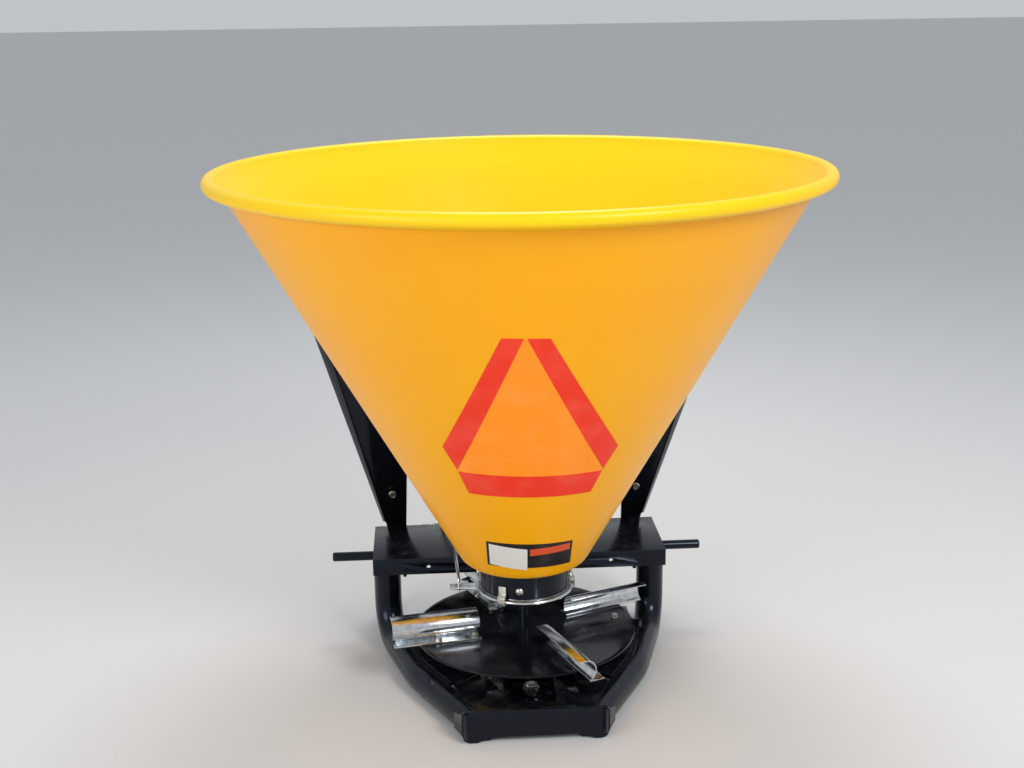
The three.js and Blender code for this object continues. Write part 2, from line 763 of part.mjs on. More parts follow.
// A line of points moved sideways, to the left of its own direction, with mitred corners. Its two
// ends stop 1 mm short.
function offsetLine(points, distance) {
  const flat = points.map(([x, y]) => new THREE.Vector2(x, y));
  return flat.map((point, i) => {
    const before = point.clone().sub(flat[Math.max(i - 1, 0)]).normalize();
    const after = flat[Math.min(i + 1, flat.length - 1)].clone().sub(point).normalize();
    if (i === 0) before.copy(after);
    if (i === flat.length - 1) after.copy(before);
    const mean = before.clone().add(after).normalize();
    const reach = distance / mean.dot(before);
    const moved = [point.x - mean.y * reach, point.y + mean.x * reach];
    const trim = i === 0 ? 1 : -1;
    if (i === 0 || i === flat.length - 1) return [moved[0] + trim * mean.x, moved[1] + trim * mean.y];
    return moved;
  });
}

// The shield under the disc, standing on the tubes by its turned-down edges.
function bellyPlate() {
  const edge = -6; // from the tubes' centre line
  const rise = legY - tubeBend - 6;
  const inside = tubeRadius + 3;
  const side = [
    [gearSlot, bellyFront], [tubeX(rise + 14) - inside, bellyFront], [tubeX(rise + 14) - inside, rise + 14],
    [tubeX(rise) + edge - 4, rise], [tubeX(kneeY) + edge, kneeY], [tubeX(bellyCorner) + edge, bellyCorner],
    [gearSlot + 58, panFront], [gearSlot, panFront],
  ];
  const underside = bellyTop - plateThickness;
  const half = planPlate(side, underside, bellyTop);
  const bridge = box(-gearSlot - 1, gearSlot + 1, panFront, -boxHalfLength - 12, underside, bellyTop);
  const setIn = 0.5; // from the plate's edge to the outside of its skirt
  const skirtLine = [side[6], side[5], side[4], side[3]];
  const skirt = planPlate([
    ...offsetLine(skirtLine, setIn),
    ...offsetLine(skirtLine, setIn + plateThickness).reverse(),
  ], 2 * tubeRadius + touchGap, bellyTop - 1);
  const right = union(half, skirt);
  return union(right, mirrored(right), bridge);
}

// The lower plate between the belly plate and the rear foot, with a slot over the gearbox saddle.
function rearPan() {
  const z0 = 2 * tubeRadius + touchGap;
  const back = rearY + 1;
  const front = panFront - 6;
  const points = [
    [48, back + 36], [48, front], [gearSlot + 50, front], [tubeX(bellyCorner) - 14, bellyCorner - 5],
    [tubeX(back) + 6, back], [-tubeX(back) - 6, back], [-tubeX(bellyCorner) + 14, bellyCorner - 5],
    [-gearSlot - 50, front], [-48, front], [-48, back + 36],
  ];
  const slotHole = (x) => union(
    box(x - 8, x + 8, -213, -205, z0 - 2, z0 + 8),
    bar('z', 4, z0 - 2, z0 + 8, [x - 8, -209], 12),
    bar('z', 4, z0 - 2, z0 + 8, [x + 8, -209], 12),
  );
  return cut(planPlate(points, z0, z0 + plateThickness), slotHole(84), slotHole(-84));
}

function crossChannel() {
  const underTop = channelTop - channelWall;
  const flangeBottom = channelTop - flangeDepth;
  const endBottom = channelTop - endPlateDepth;
  const endRear = legY + tubeRadius + touchGap;
  const rib = legX - tubeRadius - channelWall - 6.5;
  const legOuter = halfWidth - 11;
  const legInner = legOuter - standWidth;
  const legFront = channelFront - 2;
  const standLeg = union(
    box(legInner, legOuter, channelFront - channelWall - 2, legFront, 0, channelTop - 1),
    box(legInner, legOuter, legFront - standFoot, legFront, 0, standPad),
  );
  const channel = union(
    standLeg,
    mirrored(standLeg),
    box(-halfWidth, halfWidth, channelRear, channelFront, underTop, channelTop),
    box(-halfWidth, halfWidth, channelRear, channelRear + channelWall, flangeBottom, channelTop),
    box(-halfWidth, halfWidth, channelFront - channelWall, channelFront, flangeBottom, channelTop),
    box(-halfWidth, -halfWidth + channelWall, endRear, channelFront, endBottom, channelTop),
    box(halfWidth - channelWall, halfWidth, endRear, channelFront, endBottom, channelTop),
    box(-rib - channelWall, -rib, channelRear + 2, channelFront - 2, flangeBottom - 6, channelTop - 1),
    box(rib, rib + channelWall, channelRear + 2, channelFront - 2, flangeBottom - 6, channelTop - 1),
  );
  const pinHole = bar('x', pinRadius + touchGap, -halfWidth - 1, halfWidth + 1, [pinY, pinHeight], 20);
  const boltHoles = [-215, 215].map((x) => (
    bar('y', 5, channelRear - 1, channelRear + channelWall + 1, [x, pinHeight + 10], 12)
  ));
  return cut(channel, pinHole, ...boltHoles);
}

function hitchPin() {
  const inner = halfWidth - 86;
  const tip = halfWidth + pinLength;
  const pin = turned([
    [0, inner], [pinRadius, inner], [pinRadius, tip - 3], [pinRadius - 3, tip], [0, tip],
  ], 20).rotate([0, 90, 0]).translate([0, pinY, pinHeight]);
  return cut(pin, bar('z', 5.5, pinHeight - 20, pinHeight + 20, [tip - 16, pinY], 12));
}

// Y of the middle of a post's sheet at a height, and X of the cone's edge in that plane.
const postFootY = channelFront + touchGap;
const postY = (z) => postFootY - Math.tan(postLean * deg) * (z - channelTop);
const postConeX = (z) => Math.sqrt(coneRadius(z) ** 2 - postY(z) ** 2);

// A post: foot on the channel's front flange, leaning web cut to the cone, swept outer flange and
// a lug that lies against the hopper.
function sidePost() {
  const lean = postLean * deg;
  const alongU = vector(1, 0, 0);
  const alongV = vector(0, -Math.sin(lean), Math.cos(lean));
  const origin = vector(0, postFootY, channelTop);
  const onWeb = (x, z) => [x, (z - channelTop) / Math.cos(lean)];
  const hopperGap = 4;
  const outline = [onWeb(postInnerX, channelTop), onWeb(postOuterX, channelTop)];
  const topX = postConeX(postTopZ) + hopperGap;
  outline.push(onWeb(topX + 10, postTopZ));
  for (let i = 0; i <= 7; i += 1) {
    const z = postTopZ + ((postMeetZ - postTopZ) * i) / 7;
    outline.push(onWeb(postConeX(z) + hopperGap, z));
  }
  const web = planePlate(outline, origin, alongU, alongV, -postSheet);
  const footBottom = channelTop - flangeDepth + 2;
  const foot = box(postInnerX, postOuterX, postFootY, postFootY + postSheet, footBottom, channelTop + 1.6);
  const inSheet = vector(-3, Math.cos(lean), Math.sin(lean));
  const at = ([u, v]) => origin.clone().addScaledVector(alongU, u).addScaledVector(alongV, v).add(inSheet);
  const low = at(outline[1]);
  const high = at(outline[2]);
  const edge = high.clone().sub(low).normalize();
  const swept = vector(0.7, 0.7, 0.1);
  swept.addScaledVector(edge, -swept.dot(edge)).normalize();
  const length = high.distanceTo(low);
  const flange = planePlate([[16, 0], [length, 0], [length, 40], [16, 9]], low, edge, swept, -postSheet);
  const lugZ = postTopZ - 66;
  const lugAngle = Math.atan2(postY(lugZ), postConeX(lugZ));
  const radial = vector(Math.cos(lugAngle), Math.sin(lugAngle), 0);
  const up = radial.clone().multiplyScalar(Math.sin(coneAngle)).add(vector(0, 0, Math.cos(coneAngle)));
  const around = vector(-Math.sin(lugAngle), Math.cos(lugAngle), 0);
  const away = new THREE.Vector3().crossVectors(around, up);
  const lugCentre = vector(0, 0, lugZ).addScaledVector(radial, coneRadius(lugZ)).addScaledVector(away, 1);
  const lugOutline = [[-24, -85], [24, -85], [24, 85], [-24, 85]];
  const lug = planePlate(lugOutline, lugCentre, around, up, postSheet + 1);
  return union(web, foot, flange, lug);
}

// One side of the mast: a foot on the channel, a raking bar and a cheek with the top-link hole.
function mastSide() {
  const inner = mastGap / 2;
  const footY = channelFront + touchGap;
  const barDepth = 50;
  const low = vector(mastFootX, footY, channelTop - flangeDepth + 6);
  const high = vector(inner, mastPinY - barDepth / 2, mastPinZ - 20);
  const outlineBar = [[low.x, low.z], [low.x + 10, low.z], [high.x + mastCheek, high.z], [high.x, high.z]];
  const slope = (high.y - low.y) / (high.z - low.z);
  const upright = facePlate(outlineBar, 0, barDepth);
  const raked = upright.warp((vertex) => {
    vertex[1] += low.y + (vertex[2] - low.z) * slope;
  });
  const cheek = sidePlate([
    [mastPinY - 30, mastPinZ - 45], [mastPinY + 30, mastPinZ - 45], [mastPinY + 30, mastPinZ + 18],
    [mastPinY + 18, mastPinZ + 30], [mastPinY - 18, mastPinZ + 30], [mastPinY - 30, mastPinZ + 18],
  ], inner, inner + mastCheek);
  const footBottom = channelTop - flangeDepth + 2;
  const foot = box(mastFootX - 18, mastFootX + 30, footY, footY + 8, footBottom, channelTop + 22);
  const hole = bar('x', topPinRadius + runGap, inner - 1, inner + mastCheek + 1, [mastPinY, mastPinZ], 20);
  return cut(union(raked, cheek, foot), hole);
}

const topPinEnd = mastGap / 2 + mastCheek + 26;

function topLinkPin() {
  const pin = turned([
    [0, -topPinEnd + 8], [17, -topPinEnd + 8], [17, -topPinEnd + 14], [topPinRadius, -topPinEnd + 14],
    [topPinRadius, topPinEnd - 3], [topPinRadius - 2, topPinEnd], [0, topPinEnd],
  ], 20).rotate([0, 90, 0]).translate([0, mastPinY, mastPinZ]);
  return cut(pin, bar('z', 3.6, mastPinZ - 20, mastPinZ + 20, [topPinEnd - 12, mastPinY], 12));
}

// A spring ring on a short pin, through the end of the top-link pin.
function linchpin() {
  const x = topPinEnd - 12;
  const shank = bar('z', 3, mastPinZ - 17, mastPinZ + 13, [x, mastPinY], 10);
  const head = bar('z', 5.5, mastPinZ + 12, mastPinZ + 22, [x, mastPinY], 10);
  const ringRadius = 19;
  const ring = solid(new THREE.TorusGeometry(ringRadius, 1.6, 6, 18))
    .rotate([0, 90, 0]).translate([x, mastPinY, mastPinZ]);
  return union(shank, head, ring);
}

// ---------------------------------------------------------------- flow control

function funnelBracket() {
  const z0 = funnelBoltZ + 12;
  const inner = funnelRadius(z0 + 6) + 1;
  const outer = inner + 20;
  const arc = [];
  for (let i = 0; i <= 12; i += 1) arc.push([outer, 15 + (150 * i) / 12]);
  for (let i = 12; i >= 0; i -= 1) arc.push([inner, 15 + (150 * i) / 12]);
  const points = arc.map(([radius, angle]) => [
    radius * Math.cos(angle * deg), radius * Math.sin(angle * deg),
  ]);
  const seat = channelTop + touchGap;
  return union(
    planPlate(points, z0, z0 + 6),
    box(-60, 60, inner + 4, channelRear + 80, z0, z0 + 6),
    box(-60, 60, channelRear + 30, channelRear + 80, seat, z0 + 1),
  );
}

// A flat lever: a short arm down to the pivot, a slot for the link rod and a raked handle.
function controlLever() {
  const half = leverWidth / 2;
  const lean = leverHandleLean * deg;
  const bendZ = leverLinkZ + 18;
  const handle = leverLength - (bendZ - leverPivotZ);
  const topY = leverPivotY + handle * Math.sin(lean);
  const topZ = bendZ + handle * Math.cos(lean);
  const across = [half * 0.8 * Math.cos(lean), half * 0.8 * Math.sin(lean)];
  const outline = [
    [leverPivotY - half, leverPivotZ], [leverPivotY - half * 0.7, leverPivotZ - half * 0.7],
    [leverPivotY, leverPivotZ - half], [leverPivotY + half * 0.7, leverPivotZ - half * 0.7],
    [leverPivotY + half, leverPivotZ], [leverPivotY + half, bendZ],
    [topY + across[0], topZ - across[1]], [topY - across[0], topZ + across[1]],
    [leverPivotY - half, bendZ + 8],
  ];
  const blade = sidePlate(outline, leverX, leverX + leverThickness);
  const through = [leverX - 1, leverX + leverThickness + 1];
  const pivot = bar('x', 8 + runGap, ...through, [leverPivotY, leverPivotZ], 16);
  const slotHalf = linkRodRadius + 1;
  const slot = box(
    ...through, leverPivotY - slotHalf, leverPivotY + slotHalf,
    leverLinkZ - linkRodRadius - 8, leverLinkZ + linkRodRadius + 8,
  );
  return cut(blade, pivot, slot);
}

// The plastic grip pushed over the lever's end, in place on the raked handle.
function leverGrip() {
  const lean = leverHandleLean * deg;
  const bendZ = leverLinkZ + 18;
  const handle = leverLength - (bendZ - leverPivotZ);
  const half = leverWidth / 2;
  const gripStart = handle - 60;
  const grip = turned([
    [0, gripStart], [17, gripStart], [15.5, gripStart + 12], [15.5, handle + 14], [17, handle + 24],
    [12, handle + 34], [0, handle + 37],
  ], 20);
  const pocket = box(
    -leverThickness / 2 - touchGap, leverThickness / 2 + touchGap,
    -half * 0.9, half * 0.9, gripStart - 1, handle + 2,
  );
  return cut(grip, pocket).rotate([-leverHandleLean, 0, 0])
    .translate([leverX + leverThickness / 2, leverPivotY, bendZ]);
}

// The angle from +Y, about the pivot, at which the raked handle crosses a radius.
function handleAngle(radius) {
  const lean = leverHandleLean * deg;
  const bend = leverLinkZ + 18 - leverPivotZ;
  const turn = Math.asin((bend * Math.sin(lean)) / radius);
  return 90 - leverHandleLean + turn / deg;
}

// The quadrant: an ear for the pivot, a strut and an arc with a slot, bolted to the channel.
function leverQuadrant() {
  const x1 = leverX - 1.2;
  const x0 = x1 - 4;
  const middle = handleAngle(quadrantRadius);
  const from = middle - leverTravel - 5;
  const to = middle + leverTravel + 5;
  const sector = (inner, outer, a0, a1) => {
    const points = [];
    for (let i = 0; i <= 8; i += 1) points.push([outer, a0 + ((a1 - a0) * i) / 8]);
    for (let i = 8; i >= 0; i -= 1) points.push([inner, a0 + ((a1 - a0) * i) / 8]);
    return points.map(([radius, a]) => [
      leverPivotY + radius * Math.cos(a * deg), leverPivotZ + radius * Math.sin(a * deg),
    ]);
  };
  const arc = sidePlate(sector(quadrantRadius - 20, quadrantRadius + 20, from, to), x0, x1);
  const slot = sidePlate(sector(quadrantRadius - 5, quadrantRadius + 5, from + 4, to - 4), x0 - 1, x1 + 1);
  const strutAngle = middle * deg;
  const side = [Math.sin(strutAngle) * 16, -Math.cos(strutAngle) * 16];
  const reach = quadrantRadius - 14;
  const endY = leverPivotY + reach * Math.cos(strutAngle);
  const endZ = leverPivotZ + reach * Math.sin(strutAngle);
  const strut = sidePlate([
    [leverPivotY + side[0], leverPivotZ + side[1]], [endY + side[0], endZ + side[1]],
    [endY - side[0], endZ - side[1]], [leverPivotY - side[0], leverPivotZ - side[1]],
  ], x0, x1);
  const back = channelFront + touchGap;
  const ear = box(x0, x1, back, leverPivotY + 18, leverPivotZ - 18, leverPivotZ + 16);
  const foot = box(x0 - 44, x1, back, back + 5, channelTop - flangeDepth + 4, leverPivotZ + 16);
  const pivot = bar('x', 8 + runGap, x0 - 1, x1 + 1, [leverPivotY, leverPivotZ], 16);
  return cut(union(arc, strut, ear, foot), slot, pivot);
}

function leverPivotBolt() {
  const x0 = leverX - 5.2;
  const x1 = leverX + leverThickness;
  const nut = planPlate(hexagon(22), 0, 9).rotate([0, 90, 0]);
  return union(
    bar('x', 8, x0 - 12, x1 + 3, [leverPivotY, leverPivotZ], 16),
    nut.translate([x0 - 9 - touchGap, leverPivotY, leverPivotZ]),
    nut.translate([x1 + 1, leverPivotY, leverPivotZ]),
  );
}

// The rod from the lever to the shutter's arm. Each end is turned into its slot.
function linkRod() {
  const foot = vector(-linkPinReach, 0, shutterBottom - 8);
  const bend = vector(-linkPinReach, 0, shutterBottom + 20);
  const far = vector(leverX + leverThickness + 12, leverPivotY, leverLinkZ);
  const end = vector(leverX - touchGap, leverPivotY, leverLinkZ);
  return rodAlong(roundedPath([foot, bend, far, end], [9, 9]), linkRodRadius, 6, 48);
}

// ---------------------------------------------------------------- assembly

const spreader = new THREE.Group();
spreader.name = 'garden_spreader';

function place(name, manifold, material) {
  const mesh = new THREE.Mesh(geometryOf(manifold), material);
  mesh.name = name;
  spreader.add(mesh);
}

place('hopper_shell', hopperShell(), hopperPoly());
place('discharge_funnel', dischargeFunnel(), blackPaint());
place('orifice_plate', orificePlate(), galvanised());
place('shutter_ring', shutterRing(), galvanised());
clipAngles.forEach((angle, i) => place(`shutter_clip_${i + 1}`, shutterClip(angle), zincPlate()));
funnelBoltAngles.forEach((angle, i) => place(`funnel_bolt_${i + 1}`, funnelBolt(angle), zincPlate()));

place('spinner_shaft', spinnerShaft(), machinedSteel());
place('agitator', agitator(), machinedSteel());
place('spinner_disc', spinnerDisc(), blackPaint());
place('disc_hub', discHub(), castIron());
finAngles.forEach((angle, i) => place(`fin_${i + 1}`, fin(angle), galvanised()));
finBoltCentres().forEach((bolt) => {
  place(`fin_bolt_${bolt.fin + 1}_${bolt.place + 1}`, finBolt(bolt), zincPlate());
});

place('gearbox_housing', gearboxHousing(), castIron());
place('gearbox_cover', gearboxCover(), castIron());
place('crown_gear', crownGear(), machinedSteel());
place('bevel_pinion', bevelPinion(), machinedSteel());
place('upper_bearing', upperBearing(), machinedSteel());
place('lower_bush', lowerBush(), machinedSteel());
['rear', 'front'].forEach((name, i) => {
  place(`${name}_input_bearing`, inputBearing(i), machinedSteel());
});
place('input_shaft', inputShaft(), machinedSteel());
place('bearing_cap', bearingCap(), castIron());
place('pto_shield', ptoShield(), shieldPlastic());
place('gearbox_saddle', gearboxSaddle(), blackPaint());
place('saddle_bolt', saddleBolt(), zincPlate());

place('loop_tube_right', loopTube(), blackPaint());
place('loop_tube_left', mirrored(loopTube()), blackPaint());
place('rear_foot', rearFootSolid(), blackPaint());
place('belly_plate', bellyPlate(), blackPaint());
place('rear_pan', rearPan(), blackPaint());
place('cross_channel', crossChannel(), blackPaint());
place('post_right', sidePost(), blackPaint());
place('post_left', mirrored(sidePost()), blackPaint());
place('mast_right', mastSide(), blackPaint());
place('mast_left', mirrored(mastSide()), blackPaint());
place('hitch_pin_right', hitchPin(), blackPaint());
place('hitch_pin_left', mirrored(hitchPin()), blackPaint());
place('top_link_pin', topLinkPin(), zincPlate());
place('linchpin', linchpin(), zincPlate());

place('funnel_bracket', funnelBracket(), blackPaint());
place('control_lever', controlLever(), blackPaint());
place('lever_grip', leverGrip(), shieldPlastic());
place('lever_quadrant', leverQuadrant(), galvanised());
place('lever_pivot_bolt', leverPivotBolt(), zincPlate());
place('link_rod', linkRod(), galvanised());

export default spreader;
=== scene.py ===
# Tractor-mounted cone spreader: the looks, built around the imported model.
# Metres, +Z up, +Y towards the tractor, origin on the ground under the spinner shaft.

import math

import bmesh
import bpy
from mathutils import Matrix, Vector


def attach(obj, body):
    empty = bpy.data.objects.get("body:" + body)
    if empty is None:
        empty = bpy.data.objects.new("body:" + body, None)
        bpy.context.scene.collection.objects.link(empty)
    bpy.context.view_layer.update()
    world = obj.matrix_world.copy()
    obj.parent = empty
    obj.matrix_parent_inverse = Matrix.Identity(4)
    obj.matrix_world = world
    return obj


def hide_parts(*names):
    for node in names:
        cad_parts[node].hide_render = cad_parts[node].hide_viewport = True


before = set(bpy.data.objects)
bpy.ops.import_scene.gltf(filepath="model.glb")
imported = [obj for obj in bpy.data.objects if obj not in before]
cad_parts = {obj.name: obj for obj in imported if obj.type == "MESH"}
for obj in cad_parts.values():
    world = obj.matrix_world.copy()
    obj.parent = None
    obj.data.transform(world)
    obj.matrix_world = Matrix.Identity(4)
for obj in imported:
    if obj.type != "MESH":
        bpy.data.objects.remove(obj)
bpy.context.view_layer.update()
print("stage: frame loaded,", len(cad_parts), "nodes")

mm = 0.001
mergeDistance = 0.00001
onAxis = 0.01  # radius in mm that a turned profile starts from; the merge closes it


viewpoint = {
    "position": (-0.197, -2.950, 1.511),
    "azimuth": -3.4,  # degrees from the +Y direction
    "pitch": 15.59,  # degrees downwards
    "roll": -0.81,
    "lens": 49.82,
    "sensor": 36.0,
}


def placeCamera():
    azimuth = math.radians(viewpoint["azimuth"])
    pitch = math.radians(viewpoint["pitch"])
    roll = math.radians(viewpoint["roll"])
    levelRight = Vector((math.cos(azimuth), math.sin(azimuth), 0))
    ahead = Vector((
        -math.sin(azimuth) * math.cos(pitch),
        math.cos(azimuth) * math.cos(pitch),
        -math.sin(pitch),
    ))
    levelUp = levelRight.cross(ahead)
    right = levelRight * math.cos(roll) + levelUp * math.sin(roll)
    up = right.cross(ahead)
    data = bpy.data.cameras.new("camera")
    data.lens = viewpoint["lens"]
    data.sensor_width = viewpoint["sensor"]
    camera = bpy.data.objects.new("camera", data)
    turn = Matrix((right, up, -ahead)).transposed().to_4x4()
    camera.matrix_world = Matrix.Translation(viewpoint["position"]) @ turn
    bpy.context.scene.collection.objects.link(camera)
    bpy.context.scene.camera = camera


def linearColour(hexCode):
    values = [int(hexCode[i:i + 2], 16) / 255 for i in (1, 3, 5)]
    linear = [v / 12.92 if v <= 0.04045 else ((v + 0.055) / 1.055) ** 2.4 for v in values]
    return (*linear, 1.0)


# Adds one node with its settings, values and links, and gives back the node or the output asked for.
def addNode(tree, kind, inputs=None, output=None, **settings):
    node = tree.nodes.new(kind)
    for key, value in settings.items():
        setattr(node, key, value)
    for key, value in (inputs or {}).items():
        if isinstance(value, bpy.types.NodeSocket):
            tree.links.new(value, node.inputs[key])
        else:
            node.inputs[key].default_value = value
    return node if output is None else node.outputs[output]


studio = {
    "floorColour": "#d2d3d3",
    "floorReach": 60.0,
    "floorRoughness": 0.85,
    "worldColour": "#eef2f7",
    "worldStrength": 0.62,
    # place, aim, size and power of each soft light
    "key": ((2.1, -3.1, 3.1), (0, 0, 0.55), 1.6, 92),
    "fill": ((-3.2, -3.0, 1.7), (0, 0, 0.5), 2.6, 66),
    "top": ((0.2, 1.6, 3.9), (0, 0, 0.8), 1.5, 62),
}


def placeLight(name, place, aim, size, power):
    data = bpy.data.lights.new(name, "AREA")
    data.shape = "DISK"
    data.size = size
    data.energy = power
    light = bpy.data.objects.new(name, data)
    direction = Vector(aim) - Vector(place)
    light.matrix_world = Matrix.Translation(place) @ direction.to_track_quat("-Z", "Y").to_matrix().to_4x4()
    bpy.context.scene.collection.objects.link(light)


def buildStudio():
    world = bpy.data.worlds.new("studio")
    world.use_nodes = True
    background = world.node_tree.nodes["Background"]
    background.inputs["Color"].default_value = linearColour(studio["worldColour"])
    background.inputs["Strength"].default_value = studio["worldStrength"]
    bpy.context.scene.world = world
    for name in ("key", "fill", "top"):
        placeLight(name, *studio[name])
    bpy.context.scene.view_settings.view_transform = "Standard"
    mesh = bpy.data.meshes.new("floor")
    reach = studio["floorReach"]
    mesh.from_pydata([(-reach, -reach, 0), (reach, -reach, 0), (reach, reach, 0), (-reach, reach, 0)],
                     [], [(0, 1, 2, 3)])
    floor = bpy.data.objects.new("floor", mesh)
    bpy.context.scene.collection.objects.link(floor)
    material = bpy.data.materials.new("matt studio floor")
    material.use_nodes = True
    shader = material.node_tree.nodes["Principled BSDF"]
    shader.inputs["Base Color"].default_value = linearColour(studio["floorColour"])
    shader.inputs["Roughness"].default_value = studio["floorRoughness"]
    mesh.materials.append(material)


placeCamera()
buildStudio()
print("stage: camera, floor and lights")


# A material's tree and shader, and the object's own coordinates for its patterns. Pattern sizes are in mm.
def newMaterial(name, metallic=0.0, roughness=0.5, **extra):
    material = bpy.data.materials.new(name)
    material.use_nodes = True
    tree = material.node_tree
    shader = tree.nodes["Principled BSDF"]
    shader.inputs["Metallic"].default_value = metallic
    shader.inputs["Roughness"].default_value = roughness
    for key, value in extra.items():
        shader.inputs[key].default_value = value
    place = addNode(tree, "ShaderNodeTexCoord", output="Object")
    return material, tree, shader, place


# Rotationally moulded polyethylene: deep yellow-orange with a soft gloss that the slow waves of the
# mould break up, and a paler, warmer yellow on the inside and the lip: painted light, for the light that
# falls there and comes through the wall.
def rotomouldedPolyethylene():
    material, tree, shader, place = newMaterial(
        "rotomoulded polyethylene", roughness=0.4, **{"IOR": 1.45, "Specular IOR Level": 0.36})
    height = addNode(tree, "ShaderNodeSeparateXYZ", {0: place}, "Z")
    rise = addNode(tree, "ShaderNodeMapRange", {
        "Value": height, "From Min": 0.35, "From Max": 1.05,
    }, "Result")
    wall = addNode(tree, "ShaderNodeMix", {
        0: rise, 6: linearColour("#ffb204"), 7: linearColour("#ffb004"),
    }, 2, data_type="RGBA")
    cloud = addNode(tree, "ShaderNodeTexNoise", {
        "Vector": place, "Scale": 1 / (220 * mm), "Detail": 3.0,
    }, "Fac")
    cloudShare = addNode(tree, "ShaderNodeMapRange", {
        "Value": cloud, "From Min": 0.35, "From Max": 0.7, "To Max": 0.35,
    }, "Result")
    cloudy = addNode(tree, "ShaderNodeMix", {
        0: cloudShare, 6: wall, 7: linearColour("#ffa604"),
    }, 2, data_type="RGBA")
    # painted light: the inside and the lip get a paler yellow for the light that falls on them and shows
    # through the wall
    inner = addNode(tree, "ShaderNodeAttribute", output="Fac", attribute_name="inner")
    body = addNode(tree, "ShaderNodeMix", {
        0: inner, 6: cloudy, 7: linearColour("#ffce06"),
    }, 2, data_type="RGBA")
    # dust and fine scuffs that gather low on the cone
    dust = addNode(tree, "ShaderNodeTexNoise", {
        "Vector": place, "Scale": 1 / (18 * mm), "Detail": 5.0, "Roughness": 0.7,
    }, "Fac")
    dustShare = addNode(tree, "ShaderNodeMapRange", {
        "Value": dust, "From Min": 0.5, "From Max": 0.75, "To Max": 0.16,
    }, "Result")
    low = addNode(tree, "ShaderNodeMapRange", {
        "Value": height, "From Min": 0.55, "From Max": 0.28,
    }, "Result")
    lowDust = addNode(tree, "ShaderNodeMath", {0: dustShare, 1: low}, 0, operation="MULTIPLY")
    dusty = addNode(tree, "ShaderNodeMix", {
        0: lowDust, 6: body, 7: linearColour("#c9a45a"),
    }, 2, data_type="RGBA")
    scuff = addNode(tree, "ShaderNodeTexNoise", {
        "Vector": place, "Scale": 1 / (12 * mm), "Detail": 4.0, "Roughness": 0.65,
    }, "Fac")
    gloss = addNode(tree, "ShaderNodeMapRange", {
        "Value": scuff, "From Min": 0.3, "From Max": 0.75, "To Min": 0.3, "To Max": 0.44,
    }, "Result")
    wave = addNode(tree, "ShaderNodeTexNoise", {"Vector": place, "Scale": 1 / (90 * mm)}, "Fac")
    peel = addNode(tree, "ShaderNodeTexNoise", {"Vector": place, "Scale": 1 / (3.5 * mm)}, "Fac")
    waved = addNode(tree, "ShaderNodeBump", {
        "Height": wave, "Distance": 2.2 * mm, "Strength": 0.35,
    }, "Normal")
    skin = addNode(tree, "ShaderNodeBump", {
        "Height": peel, "Distance": 0.25 * mm, "Strength": 0.3, "Normal": waved,
    }, "Normal")
    tree.links.new(dusty, shader.inputs["Base Color"])
    tree.links.new(gloss, shader.inputs["Roughness"])
    tree.links.new(skin, shader.inputs["Normal"])
    return material


# Gloss black powder coat on steel: near-black with an orange-peel skin that ripples reflections,
# a pale blue specular tint that is a painted reflection of sky, a thin bloom of dust on what faces up, and
# small worn grey flecks.
def powderCoat(name="gloss black powder coat", gloss=0.2, dustiness=0.07):
    # the pale blue Specular Tint is a painted reflection: it colours the highlights as a blue sky would
    material, tree, shader, place = newMaterial(
        name, roughness=gloss, **{"IOR": 1.45, "Coat Weight": 0.18, "Coat Roughness": 0.06,
                                  "Specular Tint": linearColour("#a9c4ea"), "Specular IOR Level": 0.4})
    normal = addNode(tree, "ShaderNodeNewGeometry", output="Normal")
    upward = addNode(tree, "ShaderNodeSeparateXYZ", {0: normal}, "Z")
    facing = addNode(tree, "ShaderNodeMapRange", {
        "Value": upward, "From Min": 0.2, "From Max": 0.9,
    }, "Result")
    film = addNode(tree, "ShaderNodeTexNoise", {
        "Vector": place, "Scale": 1 / (35 * mm), "Detail": 6.0, "Roughness": 0.68,
    }, "Fac")
    bloom = addNode(tree, "ShaderNodeMapRange", {
        "Value": film, "From Min": 0.42, "From Max": 0.72, "To Max": dustiness,
    }, "Result")
    settled = addNode(tree, "ShaderNodeMath", {0: bloom, 1: facing}, 0, operation="MULTIPLY")
    dusty = addNode(tree, "ShaderNodeMix", {
        0: settled, 6: linearColour("#090b0f"), 7: linearColour("#5e5f60"),
    }, 2, data_type="RGBA")
    speck = addNode(tree, "ShaderNodeTexNoise", {"Vector": place, "Scale": 1 / (2.2 * mm)}, "Fac")
    worn = addNode(tree, "ShaderNodeMapRange", {
        "Value": speck, "From Min": 0.72, "From Max": 0.78, "To Max": 0.25,
    }, "Result")
    flecked = addNode(tree, "ShaderNodeMix", {
        0: worn, 6: dusty, 7: linearColour("#4a4a4c"),
    }, 2, data_type="RGBA")
    uneven = addNode(tree, "ShaderNodeMapRange", {
        "Value": film, "From Min": 0.3, "From Max": 0.75, "To Min": gloss * 0.75, "To Max": gloss * 1.6,
    }, "Result")
    rough = addNode(tree, "ShaderNodeMath", {0: uneven, 1: settled}, 0, operation="ADD")
    peel = addNode(tree, "ShaderNodeTexNoise", {
        "Vector": place, "Scale": 1 / (4.2 * mm), "Detail": 1.0,
    }, "Fac")
    drift = addNode(tree, "ShaderNodeTexNoise", {
        "Vector": place, "Scale": 1 / (50 * mm), "Detail": 1.0,
    }, "Fac")
    drifted = addNode(tree, "ShaderNodeBump", {
        "Height": drift, "Distance": 1.2 * mm, "Strength": 0.25,
    }, "Normal")
    skin = addNode(tree, "ShaderNodeBump", {
        "Height": peel, "Distance": 0.3 * mm, "Strength": 0.35, "Normal": drifted,
    }, "Normal")
    tree.links.new(flecked, shader.inputs["Base Color"])
    tree.links.new(rough, shader.inputs["Roughness"])
    tree.links.new(skin, shader.inputs["Normal"])
    return material


